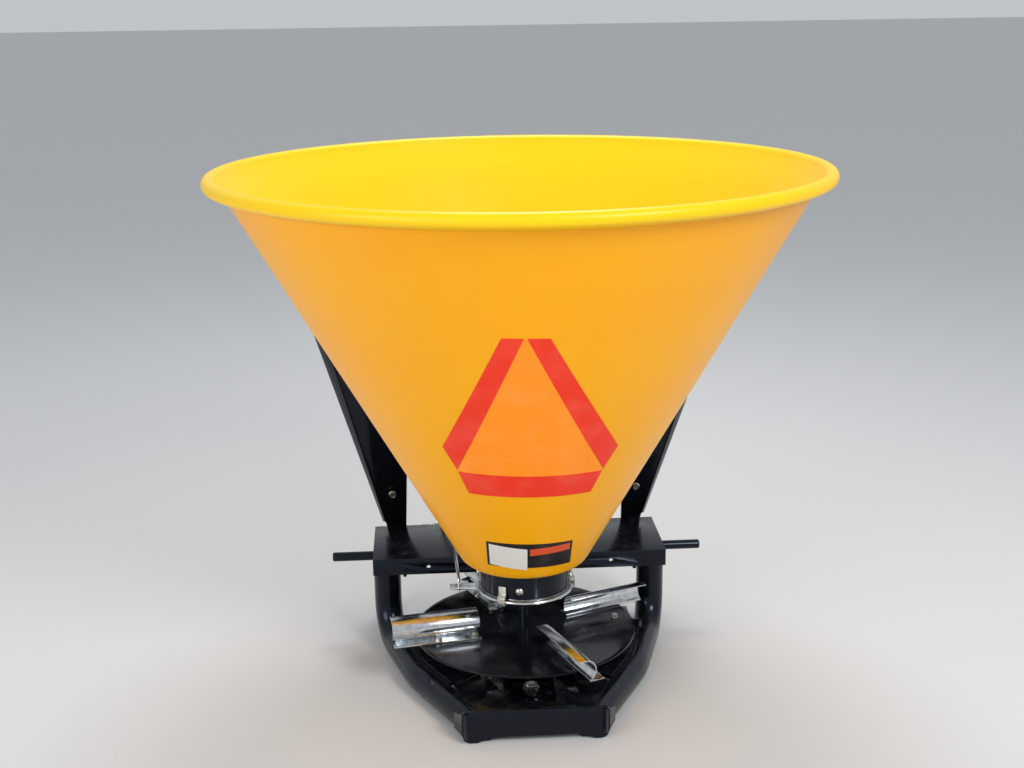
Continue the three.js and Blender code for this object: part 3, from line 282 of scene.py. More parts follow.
# Hot-dip galvanised sheet: bright zinc whose crystals, about 9 mm across, each turn the light a
# little differently, under a faint grey stain.
def galvanisedSheet():
    material, tree, shader, place = newMaterial("hot-dip galvanised sheet", metallic=1.0, roughness=0.24)
    crystal = addNode(tree, "ShaderNodeTexVoronoi", {"Vector": place, "Scale": 1 / (9 * mm)}, "Color")
    shade = addNode(tree, "ShaderNodeSeparateColor", {0: crystal})
    tone = addNode(tree, "ShaderNodeMix", {
        0: shade.outputs[0], 6: linearColour("#c6cbcf"), 7: linearColour("#dfe2e4"),
    }, 2, data_type="RGBA")
    stain = addNode(tree, "ShaderNodeTexNoise", {
        "Vector": place, "Scale": 1 / (30 * mm), "Detail": 5.0, "Roughness": 0.7,
    }, "Fac")
    stainShare = addNode(tree, "ShaderNodeMapRange", {
        "Value": stain, "From Min": 0.52, "From Max": 0.8, "To Max": 0.22,
    }, "Result")
    stained = addNode(tree, "ShaderNodeMix", {
        0: stainShare, 6: tone, 7: linearColour("#9a9991"),
    }, 2, data_type="RGBA")
    streak = addNode(tree, "ShaderNodeTexNoise", {
        "Vector": place, "Scale": 1 / (6 * mm), "Detail": 3.0,
    }, "Fac")
    crystalRough = addNode(tree, "ShaderNodeMapRange", {
        "Value": shade.outputs[1], "To Min": 0.13, "To Max": 0.19,
    }, "Result")
    streakRough = addNode(tree, "ShaderNodeMapRange", {
        "Value": streak, "From Min": 0.35, "From Max": 0.7, "To Max": 0.05,
    }, "Result")
    rough = addNode(tree, "ShaderNodeMath", {0: crystalRough, 1: streakRough}, 0, operation="ADD")
    skin = addNode(tree, "ShaderNodeBump", {
        "Height": stain, "Distance": 0.4 * mm, "Strength": 0.08,
    }, "Normal")
    tree.links.new(stained, shader.inputs["Base Color"])
    tree.links.new(rough, shader.inputs["Roughness"])
    tree.links.new(skin, shader.inputs["Normal"])
    return material


# A finish that drifts with one soft noise, whose size is in mm. colourSpan holds the noise values between
# which the first colour gives way to the second; roughSpan holds two noise values and two roughnesses.
def driftingFinish(name, size, detail, colours, colourSpan, roughSpan, grain=0.5, share=1.0, **extra):
    material, tree, shader, place = newMaterial(name, **extra)
    film = addNode(tree, "ShaderNodeTexNoise", {
        "Vector": place, "Scale": 1 / (size * mm), "Detail": detail, "Roughness": grain,
    }, "Fac")
    colourShare = addNode(tree, "ShaderNodeMapRange", {
        "Value": film, "From Min": colourSpan[0], "From Max": colourSpan[1], "To Max": share,
    }, "Result")
    colour = addNode(tree, "ShaderNodeMix", {
        0: colourShare, 6: linearColour(colours[0]), 7: linearColour(colours[1]),
    }, 2, data_type="RGBA")
    tree.links.new(colour, shader.inputs["Base Color"])
    if roughSpan:
        rough = addNode(tree, "ShaderNodeMapRange", {
            "Value": film, "From Min": roughSpan[0], "From Max": roughSpan[1],
            "To Min": roughSpan[2], "To Max": roughSpan[3],
        }, "Result")
        tree.links.new(rough, shader.inputs["Roughness"])
    return material, tree, shader, place


# Bright zinc plate on fasteners: silvery with a trace of yellow passivate and tiny dull nicks.
def zincPlate():
    material, tree, shader, place = driftingFinish(
        "bright zinc plate", 7, 3.0, ("#d4d6d4", "#cdc6ad"), (0.4, 0.65), None, metallic=1.0, roughness=0.24)
    nick = addNode(tree, "ShaderNodeTexNoise", {
        "Vector": place, "Scale": 1 / (1.4 * mm), "Detail": 3.0,
    }, "Fac")
    rough = addNode(tree, "ShaderNodeMapRange", {
        "Value": nick, "From Min": 0.4, "From Max": 0.7, "To Min": 0.18, "To Max": 0.38,
    }, "Result")
    tree.links.new(rough, shader.inputs["Roughness"])
    return material


# Turned steel, oiled: mid grey with a fine grain that reads as a satin band, and a brownish oil film.
def turnedSteel():
    material, tree, shader, place = driftingFinish(
        "oiled turned steel", 14, 4.0, ("#a4a6a8", "#7c7a74"), (0.35, 0.7), (0.3, 0.7, 0.24, 0.42),
        metallic=1.0, roughness=0.32)
    grain = addNode(tree, "ShaderNodeTexNoise", {
        "Vector": place, "Scale": 1 / (0.9 * mm), "Detail": 1.0,
    }, "Fac")
    skin = addNode(tree, "ShaderNodeBump", {
        "Height": grain, "Distance": 0.1 * mm, "Strength": 0.25,
    }, "Normal")
    tree.links.new(skin, shader.inputs["Normal"])
    return material


# Sand-cast iron under dark paint: a grainy skin of about 1.5 mm grit that kills the gloss.
def paintedCasting():
    material, tree, shader, place = driftingFinish(
        "painted sand casting", 20, 5.0, ("#1d1f22", "#4a4640"), (0.45, 0.75), (0.3, 0.7, 0.38, 0.62),
        0.65, 0.5, roughness=0.5)
    grit = addNode(tree, "ShaderNodeTexNoise", {
        "Vector": place, "Scale": 1 / (1.5 * mm), "Detail": 3.0, "Roughness": 0.6,
    }, "Fac")
    skin = addNode(tree, "ShaderNodeBump", {"Height": grit, "Distance": 0.5 * mm, "Strength": 0.5}, "Normal")
    tree.links.new(skin, shader.inputs["Normal"])
    return material


# Blow-moulded black polyethylene: satin, with a leathery pebble of about 1 mm.
def mouldedShield():
    material, tree, shader, place = driftingFinish(
        "moulded black polyethylene", 30, 4.0, ("#15161a", "#26272b"), (0.4, 0.7), None, roughness=0.46)
    pebble = addNode(tree, "ShaderNodeTexVoronoi", {"Vector": place, "Scale": 1 / (1.1 * mm)}, "Distance")
    skin = addNode(tree, "ShaderNodeBump", {
        "Height": pebble, "Distance": 0.2 * mm, "Strength": 0.3,
    }, "Normal")
    tree.links.new(skin, shader.inputs["Normal"])
    return material


# Reflective vinyl sheeting: a clear glossy face over tiny cells, drawn 2.4 mm across so they show. The face
# glows faintly in its own colour: a painted glow for the light the sheeting sends back.
def reflectiveVinyl(name, faceColour, cellColour, paintedGlow):
    material, tree, shader, place = newMaterial(name, roughness=0.42, **{
        "IOR": 1.45, "Emission Color": linearColour(faceColour), "Emission Strength": paintedGlow,
    })
    cells = addNode(tree, "ShaderNodeTexVoronoi", {"Vector": place, "Scale": 1 / (2.4 * mm)}, "Distance",
                    feature="DISTANCE_TO_EDGE")
    line = addNode(tree, "ShaderNodeMapRange", {
        "Value": cells, "From Min": 0.02, "From Max": 0.09, "To Min": 1.0, "To Max": 0.0,
    }, "Result")
    cellMix = addNode(tree, "ShaderNodeMix", {
        0: line, 6: linearColour(faceColour), 7: linearColour(cellColour),
    }, 2, data_type="RGBA")
    fade = addNode(tree, "ShaderNodeTexNoise", {
        "Vector": place, "Scale": 1 / (50 * mm), "Detail": 3.0,
    }, "Fac")
    fadeShare = addNode(tree, "ShaderNodeMapRange", {
        "Value": fade, "From Min": 0.45, "From Max": 0.85, "To Max": 0.08,
    }, "Result")
    faded = addNode(tree, "ShaderNodeMix", {
        0: fadeShare, 6: cellMix, 7: linearColour("#f7d9b0"),
    }, 2, data_type="RGBA")
    skin = addNode(tree, "ShaderNodeBump", {
        "Height": fade, "Distance": 0.5 * mm, "Strength": 0.15,
    }, "Normal")
    tree.links.new(faded, shader.inputs["Base Color"])
    tree.links.new(skin, shader.inputs["Normal"])
    return material


# Printed vinyl label: flat ink under a satin laminate with faint rub marks.
def printedVinyl(name, ink):
    return driftingFinish(name, 6, 4.0, (ink, "#9b9588"), (0.55, 0.8), (0.3, 0.7, 0.28, 0.45),
                          0.7, 0.25, roughness=0.35)[0]


polyethylene = rotomouldedPolyethylene()
blackCoat = powderCoat()
discCoat = powderCoat("gloss black spinner coat", 0.13, 0.05)
galvanised = galvanisedSheet()
zinc = zincPlate()
steel = turnedSteel()
casting = paintedCasting()
shieldPlastic = mouldedShield()
# the last value of each is the strength of its painted glow
redVinyl = reflectiveVinyl("red reflective vinyl", "#f0300f", "#dd2708", 0.1)
orangeVinyl = reflectiveVinyl("fluorescent orange vinyl", "#ff9008", "#f98604", 0.12)
whiteInk = printedVinyl("white label vinyl", "#e9e6df")
darkInk = printedVinyl("black label vinyl", "#1c1b1d")
redInk = printedVinyl("orange-red label vinyl", "#e2552b")
print("stage: materials")


def newObject(name, mesh):
    piece = bpy.data.objects.new(name, mesh)
    bpy.context.scene.collection.objects.link(piece)
    return piece


def meshFrom(name, vertices, faces, edges=()):
    mesh = bpy.data.meshes.new(name)
    mesh.from_pydata([tuple(v) for v in vertices], list(edges), [tuple(f) for f in faces])
    return mesh


def outwardFaces(mesh):
    work = bmesh.new()
    work.from_mesh(mesh)
    bmesh.ops.remove_doubles(work, verts=work.verts, dist=mergeDistance)
    bmesh.ops.recalc_face_normals(work, faces=work.faces)
    work.to_mesh(mesh)
    work.free()


def softShading(mesh, angle=34):
    mesh.shade_smooth()
    mesh.set_sharp_from_angle(angle=math.radians(angle))


# The object's mesh with its modifiers applied; the object itself is removed.
def takeMesh(source, name):
    graph = bpy.context.evaluated_depsgraph_get()
    mesh = bpy.data.meshes.new_from_object(source.evaluated_get(graph))
    mesh.name = name
    old = source.data
    bpy.data.objects.remove(source)
    bpy.data.meshes.remove(old)
    return mesh


def bevelled(name, mesh, width, segments=2, angle=38):
    source = newObject(name + "_source", mesh)
    edge = source.modifiers.new("edge", "BEVEL")
    edge.width = width
    edge.segments = segments
    edge.limit_method = "ANGLE"
    edge.angle_limit = math.radians(angle)
    return takeMesh(source, name)


def addPiece(name, mesh, body, material, nodes=()):
    mesh.materials.clear()
    mesh.materials.append(material)
    piece = newObject(name, mesh)
    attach(piece, body)
    if nodes:
        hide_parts(*nodes)
    return piece


# A CAD solid again, with its flat faces joined and its edges broken as a pressed or cut edge is.
def brokenEdges(node, width, material, body="frame", segments=2):
    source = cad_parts[node].data
    mesh = meshFrom(node, [v.co for v in source.vertices], [p.vertices for p in source.polygons])
    work = bmesh.new()
    work.from_mesh(mesh)
    bmesh.ops.remove_doubles(work, verts=work.verts, dist=mergeDistance)
    bmesh.ops.dissolve_limit(work, angle_limit=math.radians(0.6), verts=work.verts, edges=work.edges)
    work.to_mesh(mesh)
    work.free()
    mesh = bevelled(node + "_finish", mesh, width, segments)
    softShading(mesh)
    return addPiece(node + "_finish", mesh, body, material, [node])


def arcPoints(centre, radius, fromAngle, toAngle, steps):
    points = []
    for i in range(steps + 1):
        angle = math.radians(fromAngle + (toAngle - fromAngle) * i / steps)
        points.append((centre[0] + radius * math.cos(angle), centre[1] + radius * math.sin(angle)))
    return points


# Straight runs with corners rounded to radii, as a dense list of points.
def roundedRoute(corners, radii, steps=14):
    corners = [Vector(c) for c in corners]
    route = [corners[0]]
    for i in range(1, len(corners) - 1):
        back = (corners[i - 1] - corners[i]).normalized()
        ahead = (corners[i + 1] - corners[i]).normalized()
        turn = math.pi - back.angle(ahead)
        reach = radii[i - 1] * math.tan(turn / 2)
        enter = corners[i] + back * reach
        centre = enter + (ahead - back * ahead.dot(back)).normalized() * radii[i - 1]
        arm = enter - centre
        across = -back
        for k in range(steps + 1):
            angle = turn * k / steps
            route.append(centre + arm * math.cos(angle) + across * radii[i - 1] * math.sin(angle))
    route.append(corners[-1])
    return route


# A round bar or tube along a route, closed at both ends. The last end may be squared to a plane Y.
def sweptBar(name, route, radius, sides, endY=None):
    rings = []
    tangentBefore = (route[1] - route[0]).normalized()
    across = tangentBefore.orthogonal().normalized()
    for i, point in enumerate(route):
        tangent = (route[min(i + 1, len(route) - 1)] - route[max(i - 1, 0)]).normalized()
        across = (tangentBefore.rotation_difference(tangent) @ across).normalized()
        up = tangent.cross(across)
        ring = []
        for k in range(sides):
            angle = 2 * math.pi * k / sides
            ring.append(point + (across * math.cos(angle) + up * math.sin(angle)) * radius)
        rings.append(ring)
        tangentBefore = tangent
    if endY is not None:
        run = (route[-1] - route[-2]).normalized()
        rings[-1] = [v + run * ((endY - v.y) / run.y) for v in rings[-1]]
    vertices = [v for ring in rings for v in ring]
    faces = []
    for i in range(len(rings) - 1):
        for k in range(sides):
            n = (k + 1) % sides
            faces.append((i * sides + k, i * sides + n, (i + 1) * sides + n, (i + 1) * sides + k))
    faces.append(tuple(range(sides - 1, -1, -1)))
    faces.append(tuple((len(rings) - 1) * sides + k for k in range(sides)))
    mesh = meshFrom(name, vertices, faces)
    outwardFaces(mesh)
    return mesh


# A flat outline pushed through a depth. The outline is (across, up) and the depth runs along X.
def pushedOutline(name, outline, start, end):
    count = len(outline)
    vertices = [(x, y, z) for x in (start, end) for y, z in outline]
    faces = [tuple(range(count)), tuple(range(2 * count - 1, count - 1, -1))]
    for i in range(count):
        n = (i + 1) % count
        faces.append((i, n, count + n, count + i))
    mesh = meshFrom(name, vertices, faces)
    outwardFaces(mesh)
    return mesh


def newTree(name, inputs):
    tree = bpy.data.node_groups.new(name, "GeometryNodeTree")
    tree.interface.new_socket("Geometry", in_out="OUTPUT", socket_type="NodeSocketGeometry")
    tree.interface.new_socket("Geometry", in_out="INPUT", socket_type="NodeSocketGeometry")
    for label, kind, value in inputs:
        socket = tree.interface.new_socket(label, in_out="INPUT", socket_type=kind)
        if value is not None:
            socket.default_value = value
    return tree, tree.nodes.new("NodeGroupInput").outputs, tree.nodes.new("NodeGroupOutput").inputs


# Runs a tree on a mesh with the given inputs and gives back the plain mesh it makes.
def runTree(tree, name, mesh, values):
    source = newObject(name + "_source", mesh)
    modifier = source.modifiers.new(tree.name, "NODES")
    modifier.node_group = tree
    names = {item.name: item.identifier for item in tree.interface.items_tree if item.in_out == "INPUT"}
    for label, value in values.items():
        modifier[names[label]] = value
    return takeMesh(source, name)


# Every tree ends in plain geometry with its material.
def finishTree(tree, geometry, given, result):
    realized = addNode(tree, "GeometryNodeRealizeInstances", {"Geometry": geometry}, 0)
    named = addNode(tree, "GeometryNodeSetMaterial", {
        "Geometry": realized, "Material": given["Material"],
    }, 0)
    tree.links.new(named, result[0])


# A profile turned about the vertical axis, as on a lathe.
def lathingTree():
    tree, given, result = newTree("turn a profile about the axis", [
        ("Profile", "NodeSocketObject", None),
        ("Profile points", "NodeSocketInt", 8),
        ("Segments", "NodeSocketInt", 96),
        ("Material", "NodeSocketMaterial", None),
    ])
    rows = addNode(tree, "ShaderNodeMath", {0: given["Profile points"], 1: 1}, 0, operation="ADD")
    columns = addNode(tree, "ShaderNodeMath", {0: given["Segments"], 1: 1}, 0, operation="ADD")
    grid = addNode(tree, "GeometryNodeMeshGrid", {"Vertices X": columns, "Vertices Y": rows}, "Mesh")
    index = addNode(tree, "GeometryNodeInputIndex", output=0)
    halfway = addNode(tree, "ShaderNodeMath", {0: index, 1: 0.5}, 0, operation="ADD")
    share = addNode(tree, "ShaderNodeMath", {0: halfway, 1: rows}, 0, operation="DIVIDE")
    column = addNode(tree, "ShaderNodeMath", {0: share}, 0, operation="FLOOR")
    before = addNode(tree, "ShaderNodeMath", {0: column, 1: rows}, 0, operation="MULTIPLY")
    row = addNode(tree, "ShaderNodeMath", {0: index, 1: before}, 0, operation="SUBTRACT")
    whole = addNode(tree, "ShaderNodeMath", {0: row}, 0, operation="ROUND")
    pick = addNode(tree, "ShaderNodeMath", {
        0: whole, 1: given["Profile points"],
    }, 0, operation="FLOORED_MODULO")
    profile = addNode(tree, "GeometryNodeObjectInfo", {"Object": given["Profile"]}, "Geometry")
    place = addNode(tree, "GeometryNodeInputPosition", output=0)
    sample = addNode(tree, "GeometryNodeSampleIndex", {"Geometry": profile, "Index": pick},
                     data_type="FLOAT_VECTOR", domain="POINT")
    tree.links.new(place, sample.inputs["Value"])
    apart = addNode(tree, "ShaderNodeSeparateXYZ", {0: sample.outputs["Value"]})
    radius, height = apart.outputs["X"], apart.outputs["Z"]
    step = addNode(tree, "ShaderNodeMath", {0: 2 * math.pi, 1: given["Segments"]}, 0, operation="DIVIDE")
    angle = addNode(tree, "ShaderNodeMath", {0: column, 1: step}, 0, operation="MULTIPLY")
    cosine = addNode(tree, "ShaderNodeMath", {0: angle}, 0, operation="COSINE")
    sine = addNode(tree, "ShaderNodeMath", {0: angle}, 0, operation="SINE")
    x = addNode(tree, "ShaderNodeMath", {0: radius, 1: cosine}, 0, operation="MULTIPLY")
    y = addNode(tree, "ShaderNodeMath", {0: radius, 1: sine}, 0, operation="MULTIPLY")
    spot = addNode(tree, "ShaderNodeCombineXYZ", {0: x, 1: y, 2: height}, 0)
    moved = addNode(tree, "GeometryNodeSetPosition", {"Geometry": grid, "Position": spot}, 0)
    merged = addNode(tree, "GeometryNodeMergeByDistance", {"Geometry": moved, "Distance": mergeDistance}, 0)
    finishTree(tree, merged, given, result)
    return tree


# One fastener on every point, standing along the point's own axis at the point's own size, and
# turned by a seeded random angle, because no two are tightened to the same place.
def fastenerTree():
    tree, given, result = newTree("stand a fastener on every point", [
        ("Fastener", "NodeSocketObject", None),
        ("Seed", "NodeSocketInt", 3),
        ("Material", "NodeSocketMaterial", None),
    ])
    axis = addNode(tree, "GeometryNodeInputNamedAttribute", {"Name": "axis"}, "Attribute",
                   data_type="FLOAT_VECTOR")
    size = addNode(tree, "GeometryNodeInputNamedAttribute", {"Name": "size"}, "Attribute", data_type="FLOAT")
    aligned = addNode(tree, "FunctionNodeAlignRotationToVector", {"Vector": axis}, 0, axis="Z")
    chance = addNode(tree, "FunctionNodeRandomValue", {"Seed": given["Seed"]}, 1, data_type="FLOAT")
    turn = addNode(tree, "ShaderNodeMath", {0: chance, 1: 2 * math.pi}, 0, operation="MULTIPLY")
    spun = addNode(tree, "FunctionNodeAxisAngleToRotation", {"Axis": (0, 0, 1), "Angle": turn}, 0)
    rotation = addNode(tree, "FunctionNodeRotateRotation", {"Rotation": aligned, "Rotate By": spun}, 0,
                       rotation_space="LOCAL")
    fastener = addNode(tree, "GeometryNodeObjectInfo", {
        "Object": given["Fastener"], "As Instance": True,
    }, "Geometry")
    placed = addNode(tree, "GeometryNodeInstanceOnPoints", {
        "Points": given["Geometry"], "Instance": fastener, "Rotation": rotation, "Scale": size,
    }, 0)
    finishTree(tree, placed, given, result)
    return tree


# A weld bead along edges: a round bar whose thickness ripples once for every puddle.
def weldTree():
    tree, given, result = newTree("lay a weld bead along the edges", [
        ("Radius", "NodeSocketFloat", 0.003),
        ("Ripple", "NodeSocketFloat", 0.0022),
        ("Seed", "NodeSocketFloat", 4.0),
        ("Material", "NodeSocketMaterial", None),
    ])
    path = addNode(tree, "GeometryNodeMeshToCurve", {"Mesh": given["Geometry"]}, 0)
    evenly = addNode(tree, "GeometryNodeResampleCurve", {"Curve": path, "Length": given["Ripple"]}, 0,
                     mode="LENGTH")
    index = addNode(tree, "GeometryNodeInputIndex", output=0)
    ripple = addNode(tree, "ShaderNodeMath", {0: index, 1: 2}, 0, operation="MODULO")
    rippleShare = addNode(tree, "ShaderNodeMath", {0: ripple, 1: 0.16}, 0, operation="MULTIPLY")
    place = addNode(tree, "GeometryNodeInputPosition", output=0)
    wobble = addNode(tree, "ShaderNodeTexNoise", {"Vector": place, "W": given["Seed"], "Scale": 160.0}, 0,
                     noise_dimensions="4D")
    wobbleShare = addNode(tree, "ShaderNodeMath", {0: wobble, 1: 0.5}, 0, operation="MULTIPLY")
    raised = addNode(tree, "ShaderNodeMath", {0: wobbleShare, 1: 0.65}, 0, operation="ADD")
    thick = addNode(tree, "ShaderNodeMath", {0: rippleShare, 1: raised}, 0, operation="ADD")
    radius = addNode(tree, "ShaderNodeMath", {0: thick, 1: given["Radius"]}, 0, operation="MULTIPLY")
    sized = addNode(tree, "GeometryNodeSetCurveRadius", {"Curve": evenly, "Radius": radius}, 0)
    ring = addNode(tree, "GeometryNodeCurvePrimitiveCircle", {"Resolution": 8, "Radius": 1.0}, 0)
    bead = addNode(tree, "GeometryNodeCurveToMesh", {
        "Curve": sized, "Profile Curve": ring, "Fill Caps": True,
    })
    if "Scale" in bead.inputs:
        tree.links.new(addNode(tree, "GeometryNodeInputRadius", output=0), bead.inputs["Scale"])
    finishTree(tree, bead.outputs[0], given, result)
    return tree


lathing = lathingTree()
fastening = fastenerTree()
welding = weldTree()


# A piece turned from a profile of (radius, height) points in mm.
def turnedMesh(name, profile, segments, material):
    points = [(r * mm, 0, z * mm) for r, z in profile]
    outline = newObject(name + "_profile", meshFrom(name + "_profile", points, []))
    mesh = runTree(lathing, name, meshFrom(name + "_base", [], []), {
        "Profile": outline, "Profile points": len(profile), "Segments": segments, "Material": material,
    })
    data = outline.data
    bpy.data.objects.remove(outline)
    bpy.data.meshes.remove(data)
    outwardFaces(mesh)
    softShading(mesh)
    return mesh


# Fasteners of one kind on one body. Each place is (point, axis, size).
def fastenerSet(name, shape, places, body, material, nodes=(), seed=3):
    points = meshFrom(name + "_points", [p for p, _, _ in places], [])
    points.attributes.new("axis", "FLOAT_VECTOR", "POINT")
    points.attributes.new("size", "FLOAT", "POINT")
    for i, (_, axis, size) in enumerate(places):
        points.attributes["axis"].data[i].vector = axis
        points.attributes["size"].data[i].value = size
    mesh = runTree(fastening, name, points, {"Fastener": shape, "Seed": seed, "Material": material})
    outwardFaces(mesh)
    softShading(mesh, 30)
    return addPiece(name, mesh, body, material, nodes)


def weldSet(name, runs, radius, body, material):
    vertices, edges = [], []
    for run in runs:
        start = len(vertices)
        vertices += [tuple(p) for p in run]
        edges += [(start + i, start + i + 1) for i in range(len(run) - 1)]
    mesh = runTree(welding, name, meshFrom(name + "_path", vertices, [], edges), {
        "Radius": radius, "Ripple": radius * 0.75, "Seed": 4.0, "Material": material,
    })
    outwardFaces(mesh)
    softShading(mesh, 60)
    return addPiece(name, mesh, body, material)


print("stage: node trees")


hopper = {
    "floor": 284.0,
    "opening": 110.0,
    "base": 136.3,  # radius where the cone's outer line meets the floor
    "coneTop": (607.0, 1119.0),
    "wall": 7.0,
    "fillet": 34.0,
    "lipRadius": 14.0,
    "rim": 649.7,
    "top": 1157.0,
}
hopper["slope"] = (hopper["coneTop"][0] - hopper["base"]) / (hopper["coneTop"][1] - hopper["floor"])
halfApex = math.atan(hopper["slope"])


def coneRadius(z):
    return hopper["base"] + hopper["slope"] * (z - hopper["floor"])


def hopperProfile():
    corner = math.pi / 2 - halfApex
    reach = hopper["fillet"] * math.tan(corner / 2)
    slant = hopper["wall"] / math.cos(halfApex)

    def filletPoint(radius, share):
        angle = -math.pi / 2 + corner * share
        return (hopper["base"] - reach + radius * math.cos(angle),
                hopper["floor"] + hopper["fillet"] + radius * math.sin(angle))

    profile = [(hopper["opening"], hopper["floor"])]
    profile += [filletPoint(hopper["fillet"], i / 8) for i in range(9)]
    top, topZ = hopper["coneTop"]
    low = profile[-1]
    profile += [(low[0] + (top - low[0]) * i / 12, low[1] + (topZ - low[1]) * i / 12) for i in range(1, 13)]
    centre = (hopper["rim"] - hopper["lipRadius"], hopper["top"] - hopper["lipRadius"])
    profile += arcPoints(centre, hopper["lipRadius"], -70, 170, 20)
    profile.append((top - slant, topZ))
    base = filletPoint(hopper["fillet"] - hopper["wall"], 1)
    profile += [(top - slant + (base[0] - top + slant) * i / 12, topZ + (base[1] - topZ) * i / 12)
                for i in range(1, 12)]
    profile += [filletPoint(hopper["fillet"] - hopper["wall"], i / 8) for i in range(8, -1, -1)]
    profile.append((hopper["opening"], hopper["floor"] + hopper["wall"]))
    return profile


def buildHopper():
    profile = hopperProfile()
    mesh = turnedMesh("hopper_moulding", profile, 192, polyethylene)
    # marks the inside and the lip for their painted light, a paler yellow than the outside of the cone
    inner = mesh.attributes.new("inner", "FLOAT", "POINT")
    for vertex in mesh.vertices:
        radius = math.hypot(vertex.co.x, vertex.co.y) / mm
        height = vertex.co.z / mm
        under = coneRadius(height) - hopper["wall"] * 0.5 / math.cos(halfApex)
        lip = height > hopper["coneTop"][1] + 4
        inner.data[vertex.index].value = 1.0 if lip or radius < under else 0.0
    addPiece("hopper_moulding", mesh, "frame", polyethylene, ["hopper_shell"])


# Stickers are laid out flat on the unrolled cone, then wrapped on to it.
def flatPlace(angle, z):
    across = math.radians(angle + 90) * math.sin(halfApex)
    slant = coneRadius(z) / math.sin(halfApex)
    return Vector((slant * math.sin(across), slant * math.cos(across)))


def wrapped(point, lift):
    slant = point.length
    angle = math.atan2(point.x, point.y) / math.sin(halfApex) - math.pi / 2
    radius = slant * math.sin(halfApex)
    z = hopper["floor"] + (radius - hopper["base"]) / hopper["slope"]
    radius += lift * math.cos(halfApex)
    return Vector((radius * math.cos(angle), radius * math.sin(angle), z - lift * math.sin(halfApex))) * mm


# A four-cornered sticker as a thin closed sheet. Its first and last corners, and its second and third,
# are joined by straight runs on the flat, and the sheet follows the cone round between them.
def stickerMesh(name, corners, bottom, top, stepsLong, stepsWide):
    grid = []
    for lift in (bottom, top):
        for i in range(stepsLong + 1):
            along = i / stepsLong
            left = corners[0].lerp(corners[1], along)
            right = corners[3].lerp(corners[2], along)
            for k in range(stepsWide + 1):
                across = k / stepsWide
                slant = left.length + (right.length - left.length) * across
                leftTurn, rightTurn = math.atan2(left.x, left.y), math.atan2(right.x, right.y)
                turn = leftTurn + (rightTurn - leftTurn) * across
                grid.append(wrapped(Vector((slant * math.sin(turn), slant * math.cos(turn))), lift))
    row = stepsWide + 1
    layer = row * (stepsLong + 1)
    faces = []
    for i in range(stepsLong):
        for k in range(stepsWide):
            a, b, c, d = i * row + k, (i + 1) * row + k, (i + 1) * row + k + 1, i * row + k + 1
            faces.append((a, b, c, d))
            faces.append((layer + d, layer + c, layer + b, layer + a))
    rim = [i * row for i in range(stepsLong + 1)]
    rim += [stepsLong * row + k for k in range(1, row)]
    rim += [i * row + row - 1 for i in range(stepsLong - 1, -1, -1)]
    rim += [k for k in range(row - 2, 0, -1)]
    for i, a in enumerate(rim):
        b = rim[(i + 1) % len(rim)]
        faces.append((a, layer + a, layer + b, b))
    mesh = meshFrom(name, grid, faces)
    outwardFaces(mesh)
    softShading(mesh, 40)
    return mesh


def joinMeshes(name, meshes):
    vertices, faces = [], []
    for mesh in meshes:
        start = len(vertices)
        vertices += [tuple(v.co) for v in mesh.vertices]
        faces += [tuple(start + i for i in p.vertices) for p in mesh.polygons]
        bpy.data.meshes.remove(mesh)
    joined = meshFrom(name, vertices, faces)
    outwardFaces(joined)
    return joined


# Corners are (angle about the cone in degrees, height), and run from top left down and round.
stickers = {
    "lift": 0.15,
    "sheet": 0.45,
    "overlay": 0.02,  # from one sheet to the one stuck over it
    "borderSheet": 0.25,
    "panelSheet": 0.2,
    "leftStrip": ((-98.1, 907), (-121.6, 644), (-119.1, 587), (-93.3, 906)),
    "rightStrip": ((-87.6, 905), (-59.2, 634), (-61.7, 579), (-92.6, 906)),
    "lowStrip": ((-119.0, 584), (-117.5, 528), (-63.4, 522), (-61.9, 576)),
    "triangle": ((-94.6, 903), (-118.9, 581), (-62.0, 573), (-91.2, 902)),
    "label": ((-117.3, 396), (-122.8, 326), (-55.3, 322), (-62.3, 390)),
    # shares of the label's width and height: left, right, top, bottom
    "whitePanel": (0.03, 0.47, 0.07, 0.93),
    "redBand": (0.50, 0.97, 0.07, 0.34),
}


# A block of the label, given as shares of its width and height.
def labelBlock(left, right, top, bottom):
    topLeft, lowLeft, lowRight, topRight = [flatPlace(*corner) for corner in stickers["label"]]

    def onLabel(across, down):
        return topLeft.lerp(topRight, across).lerp(lowLeft.lerp(lowRight, across), down)

    return (onLabel(left, top), onLabel(left, bottom), onLabel(right, bottom), onLabel(right, top))


def buildStickers():
    low = stickers["lift"]
    high = low + stickers["sheet"]
    over = high + stickers["overlay"]
    border = []
    strips = (("leftStrip", (28, 4)), ("rightStrip", (28, 4)), ("lowStrip", (4, 32)))
    for i, (name, steps) in enumerate(strips):
        corners = [flatPlace(*corner) for corner in stickers[name]]
        border.append(stickerMesh(f"border_{i}", corners, over, over + stickers["borderSheet"], *steps))
    red = joinMeshes("triangle_border", border)
    softShading(red, 40)
    addPiece("triangle_border", red, "frame", redVinyl)
    corners = [flatPlace(*corner) for corner in stickers["triangle"]]
    orange = stickerMesh("triangle_centre", corners, low, high, 40, 24)
    addPiece("triangle_centre", orange, "frame", orangeVinyl)
    back = stickerMesh("label_backing", labelBlock(0, 1, 0, 1), low, high, 6, 30)
    addPiece("label_backing", back, "frame", darkInk)
    panels = (("label_white_panel", "whitePanel", whiteInk), ("label_red_band", "redBand", redInk))
    for name, block, ink in panels:
        panel = stickerMesh(name, labelBlock(*stickers[block]), over, over + stickers["panelSheet"], 5, 16)
        addPiece(name, panel, "frame", ink)


buildHopper()
buildStickers()
print("stage: hopper")


